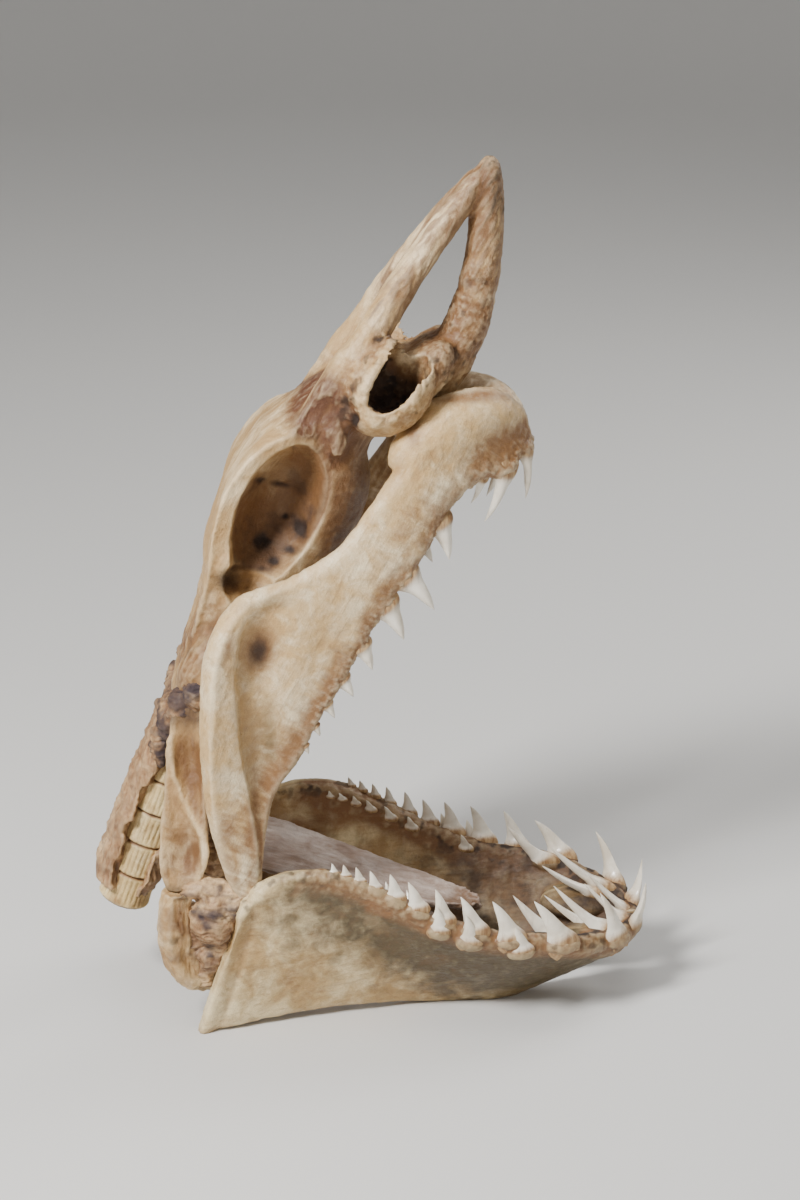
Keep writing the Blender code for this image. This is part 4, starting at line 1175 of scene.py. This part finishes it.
def hyoid(side, word, cartilage, tissue):
    """One side's two bars behind the jaws, and the tissue at the joint and the neck."""
    skin = fused(f"hyomandibula_{word}_bone", [blade(HYOMANDIBULA, side, 90)])
    p = skin.points
    px = picture(p)
    face = ease(0.1, 0.5, outward(skin))
    hollow = spots(px, [(192, 766, 10, 34, -6, 0.9), (188, 852, 12, 24, -8, 1.0)]) * face
    away, _ = line_distance(px, [(168, 740), (174, 775), (187, 806), (203, 836), (209, 872)])
    crest = np.exp(-((away / 4.5) ** 2)) * face
    strands = noise(p, 2.2, 62, 3, (1, 1, 7))
    skin.push(0.5 * noise(p, 9, 61) + 0.35 * strands + 2.2 * crest - 3.6 * hollow)
    ends = ease(180, 196, p[:, 2]) + ease(102, 92, p[:, 2])
    stain = 0.5 + 0.35 * noise(p, 12, 63) + 0.3 * strands + 0.4 * hollow - 0.6 * crest
    skin.finish(8, stain=stain, deep=0.6 * ends + 0.3 * hollow,
                veil=0.3 * ease(0, 0.5, noise(p, 15, 64)))
    dress(skin.obj, cartilage, "cartilage", f"hyomandibula_{word}")
    skin = fused(f"ceratohyal_{word}_bone", [tube(rod(CERATOHYAL), side)], smooth=3)
    p = skin.points
    strands = noise(p, 2.4, 66, 3, (1.5, 1, 6))
    line = mirrored(rod(CERATOHYAL, 40)[:, :3], side)
    place = line_distance(p, line)[1]
    middle = np.stack([np.interp(place, np.arange(40), line[:, k]) for k in range(3)], 1)
    around = unit(p - middle)
    groove = ease(0.2, 0.9, outward(skin)) * ease(-0.2, 0.5, around[:, 0])
    skin.push(0.9 * noise(p, 8, 65) + 0.6 * strands - 2.6 * groove)
    skin.finish(8, stain=0.5 + 0.4 * noise(p, 10, 67) + 0.3 * strands,
                deep=0.5 * ease(0.2, 0.8, noise(p, 7, 68)))
    dress(skin.obj, cartilage, "cartilage", f"ceratohyal_{word}")
    joint = rough_tissue(f"joint_tissue_{word}", JOINT_TISSUE, side, 71, 0.1)
    dress(joint, tissue, "tissue", f"jaw_joint_{word}")
    dress(rough_tissue(f"neck_tissue_{word}", NECK_TISSUE, side, 81, 0.7), tissue, "tissue")


def rough_tissue(name, lumps, side, seed, dark):
    """Dried ligament and muscle: folds that wind round, with dark shrunken patches."""
    skin = fused(name, [side_ball(*lump, side) for lump in lumps], smooth=3)
    skin.fillet(50, 2.2)
    p = skin.points
    bent = p + 4.0 * np.stack([noise(p, 14, seed + k, 2) for k in range(3)], 1)
    folds = noise(bent, 2.6, seed + 4, 3, (7, 1.5, 1))
    skin.push(1.1 * noise(p, 9, seed + 5) + 1.3 * folds + 0.3 * noise(p, 1.8, seed + 6) - 0.4)
    patches = noise(p, 13, seed + 7)
    deep = (0.8 * ease(0.0, 1.1, dark - patches + 0.5 * folds)
            + 0.35 * ease(0.0, 0.8, -folds))
    skin.finish(6, stain=0.25 + 0.6 * patches + 0.7 * folds, deep=deep)
    return skin.obj


# Stage


def studio():
    """A round floor that curves up into a wall all round, so no side shows an edge."""
    floor_mesh = bpy.data.meshes.new("floor")
    shape = bmesh.new()
    flat_reach, curve, wall_top, sides = 3.0, 2.0, 5.0, 96
    profile = [(flat_reach * k / 6, 0.0) for k in range(1, 7)]
    for k in range(1, 17):
        angle = k / 16 * math.pi / 2
        profile.append((flat_reach + curve * math.sin(angle), curve * (1 - math.cos(angle))))
    profile.append((flat_reach + curve, wall_top))
    turns = [2 * math.pi * k / sides for k in range(sides)]
    rows = [[shape.verts.new((r * math.cos(a), r * math.sin(a), z)) for a in turns]
            for r, z in profile]
    centre = shape.verts.new((0, 0, 0))
    for k in range(sides):
        n = (k + 1) % sides
        shape.faces.new((centre, rows[0][k], rows[0][n]))
        for a, b in zip(rows, rows[1:]):
            shape.faces.new((a[k], b[k], b[n], a[n]))
    shape.to_mesh(floor_mesh)
    shape.free()
    floor_mesh.shade_smooth()
    floor = new_object("floor", floor_mesh)
    n = Nodes("floor")
    n.shade("Base Color", rgb(216, 214, 210))
    n.shade("Roughness", 0.6)
    floor.data.materials.append(n.material)
    world = bpy.data.worlds.new("studio")
    world.use_nodes = True
    sky = world.node_tree.nodes["Background"].inputs
    sky["Color"].default_value = (0.93, 0.95, 1.0, 1)
    sky["Strength"].default_value = 0.16
    bpy.context.scene.world = world
    aim = Vector((0.0, 0.0, 0.25))
    for name, place, size, power in (
        ("top", (0.1, 0.2, 4.0), 3.0, 45.0),
        ("key", (-0.85, -0.95, 1.4), 0.4, 54.0),
        ("front", (0.9, -1.9, 0.7), 1.2, 6.0),
        ("rim", (1.1, 0.9, 1.1), 0.8, 12.0),
    ):
        light = bpy.data.lights.new(name, "AREA")
        light.size = size
        light.energy = power
        obj = new_object(name, light)
        obj.location = place
        obj.rotation_euler = (aim - Vector(place)).to_track_quat("-Z", "Y").to_euler()


def camera():
    data = bpy.data.cameras.new("camera")
    data.lens = 36.0 * PIXELS_PER_MM * VIEW_DISTANCE / 1200
    data.clip_end = 100.0
    obj = new_object("camera", data)
    target = (VIEW_TARGET + SHIFT) * MM
    reach = VIEW_DISTANCE * MM
    obj.location = (target[0], target[1] - reach * math.cos(VIEW_ELEVATION),
                    target[2] + reach * math.sin(VIEW_ELEVATION))
    obj.rotation_euler = (math.pi / 2 - VIEW_ELEVATION, 0, 0)
    bpy.context.scene.camera = obj


def main():
    camera()
    studio()
    ivory = dried("jaw_cartilage", (246, 228, 190), (208, 170, 114), (136, 96, 56),
                  (56, 36, 22), 0.4, 0.6, 0.25, (106, 86, 54))
    # The lower jaw's cartilage: a darker copy of the jaw cartilage, partly its olive tone and
    # partly painted shade.
    olive_and_shaded = dried("lower_jaw_cartilage", (236, 216, 170), (186, 152, 100), (132, 92, 54),
                  (46, 31, 20), 0.42, 0.6, 0.25, (82, 68, 42), 1.45)
    cream = dried("skull_cartilage", (240, 214, 170), (188, 150, 98), (122, 84, 48),
                  (42, 26, 15), 0.48, 0.7, 0.25, (88, 48, 26))
    grey = dried("tongue_skin", (196, 180, 168), (160, 138, 124), (112, 82, 56),
                 (62, 44, 34), 0.46, 0.4, 0.25, turn=1.5)
    brown = dried("dried_tissue", (224, 190, 144), (156, 116, 76), (98, 68, 48),
                  (54, 41, 43), 0.52, 0.6, 0.4)
    straw = dried("vertebra_cartilage", (246, 226, 176), (218, 186, 124), (132, 92, 50),
                  (56, 36, 22), 0.5, 0.5, 0.35)
    tooth = enamel()
    cranium(cream)
    backbone(straw, brown)
    tongue(grey)
    for side, word in ((-1, "right"), (1, "left")):
        lower_jaw(side, word, olive_and_shaded, tooth)
        upper_jaw(side, word, ivory, tooth)
        hyoid(side, word, cream, brown)


main()
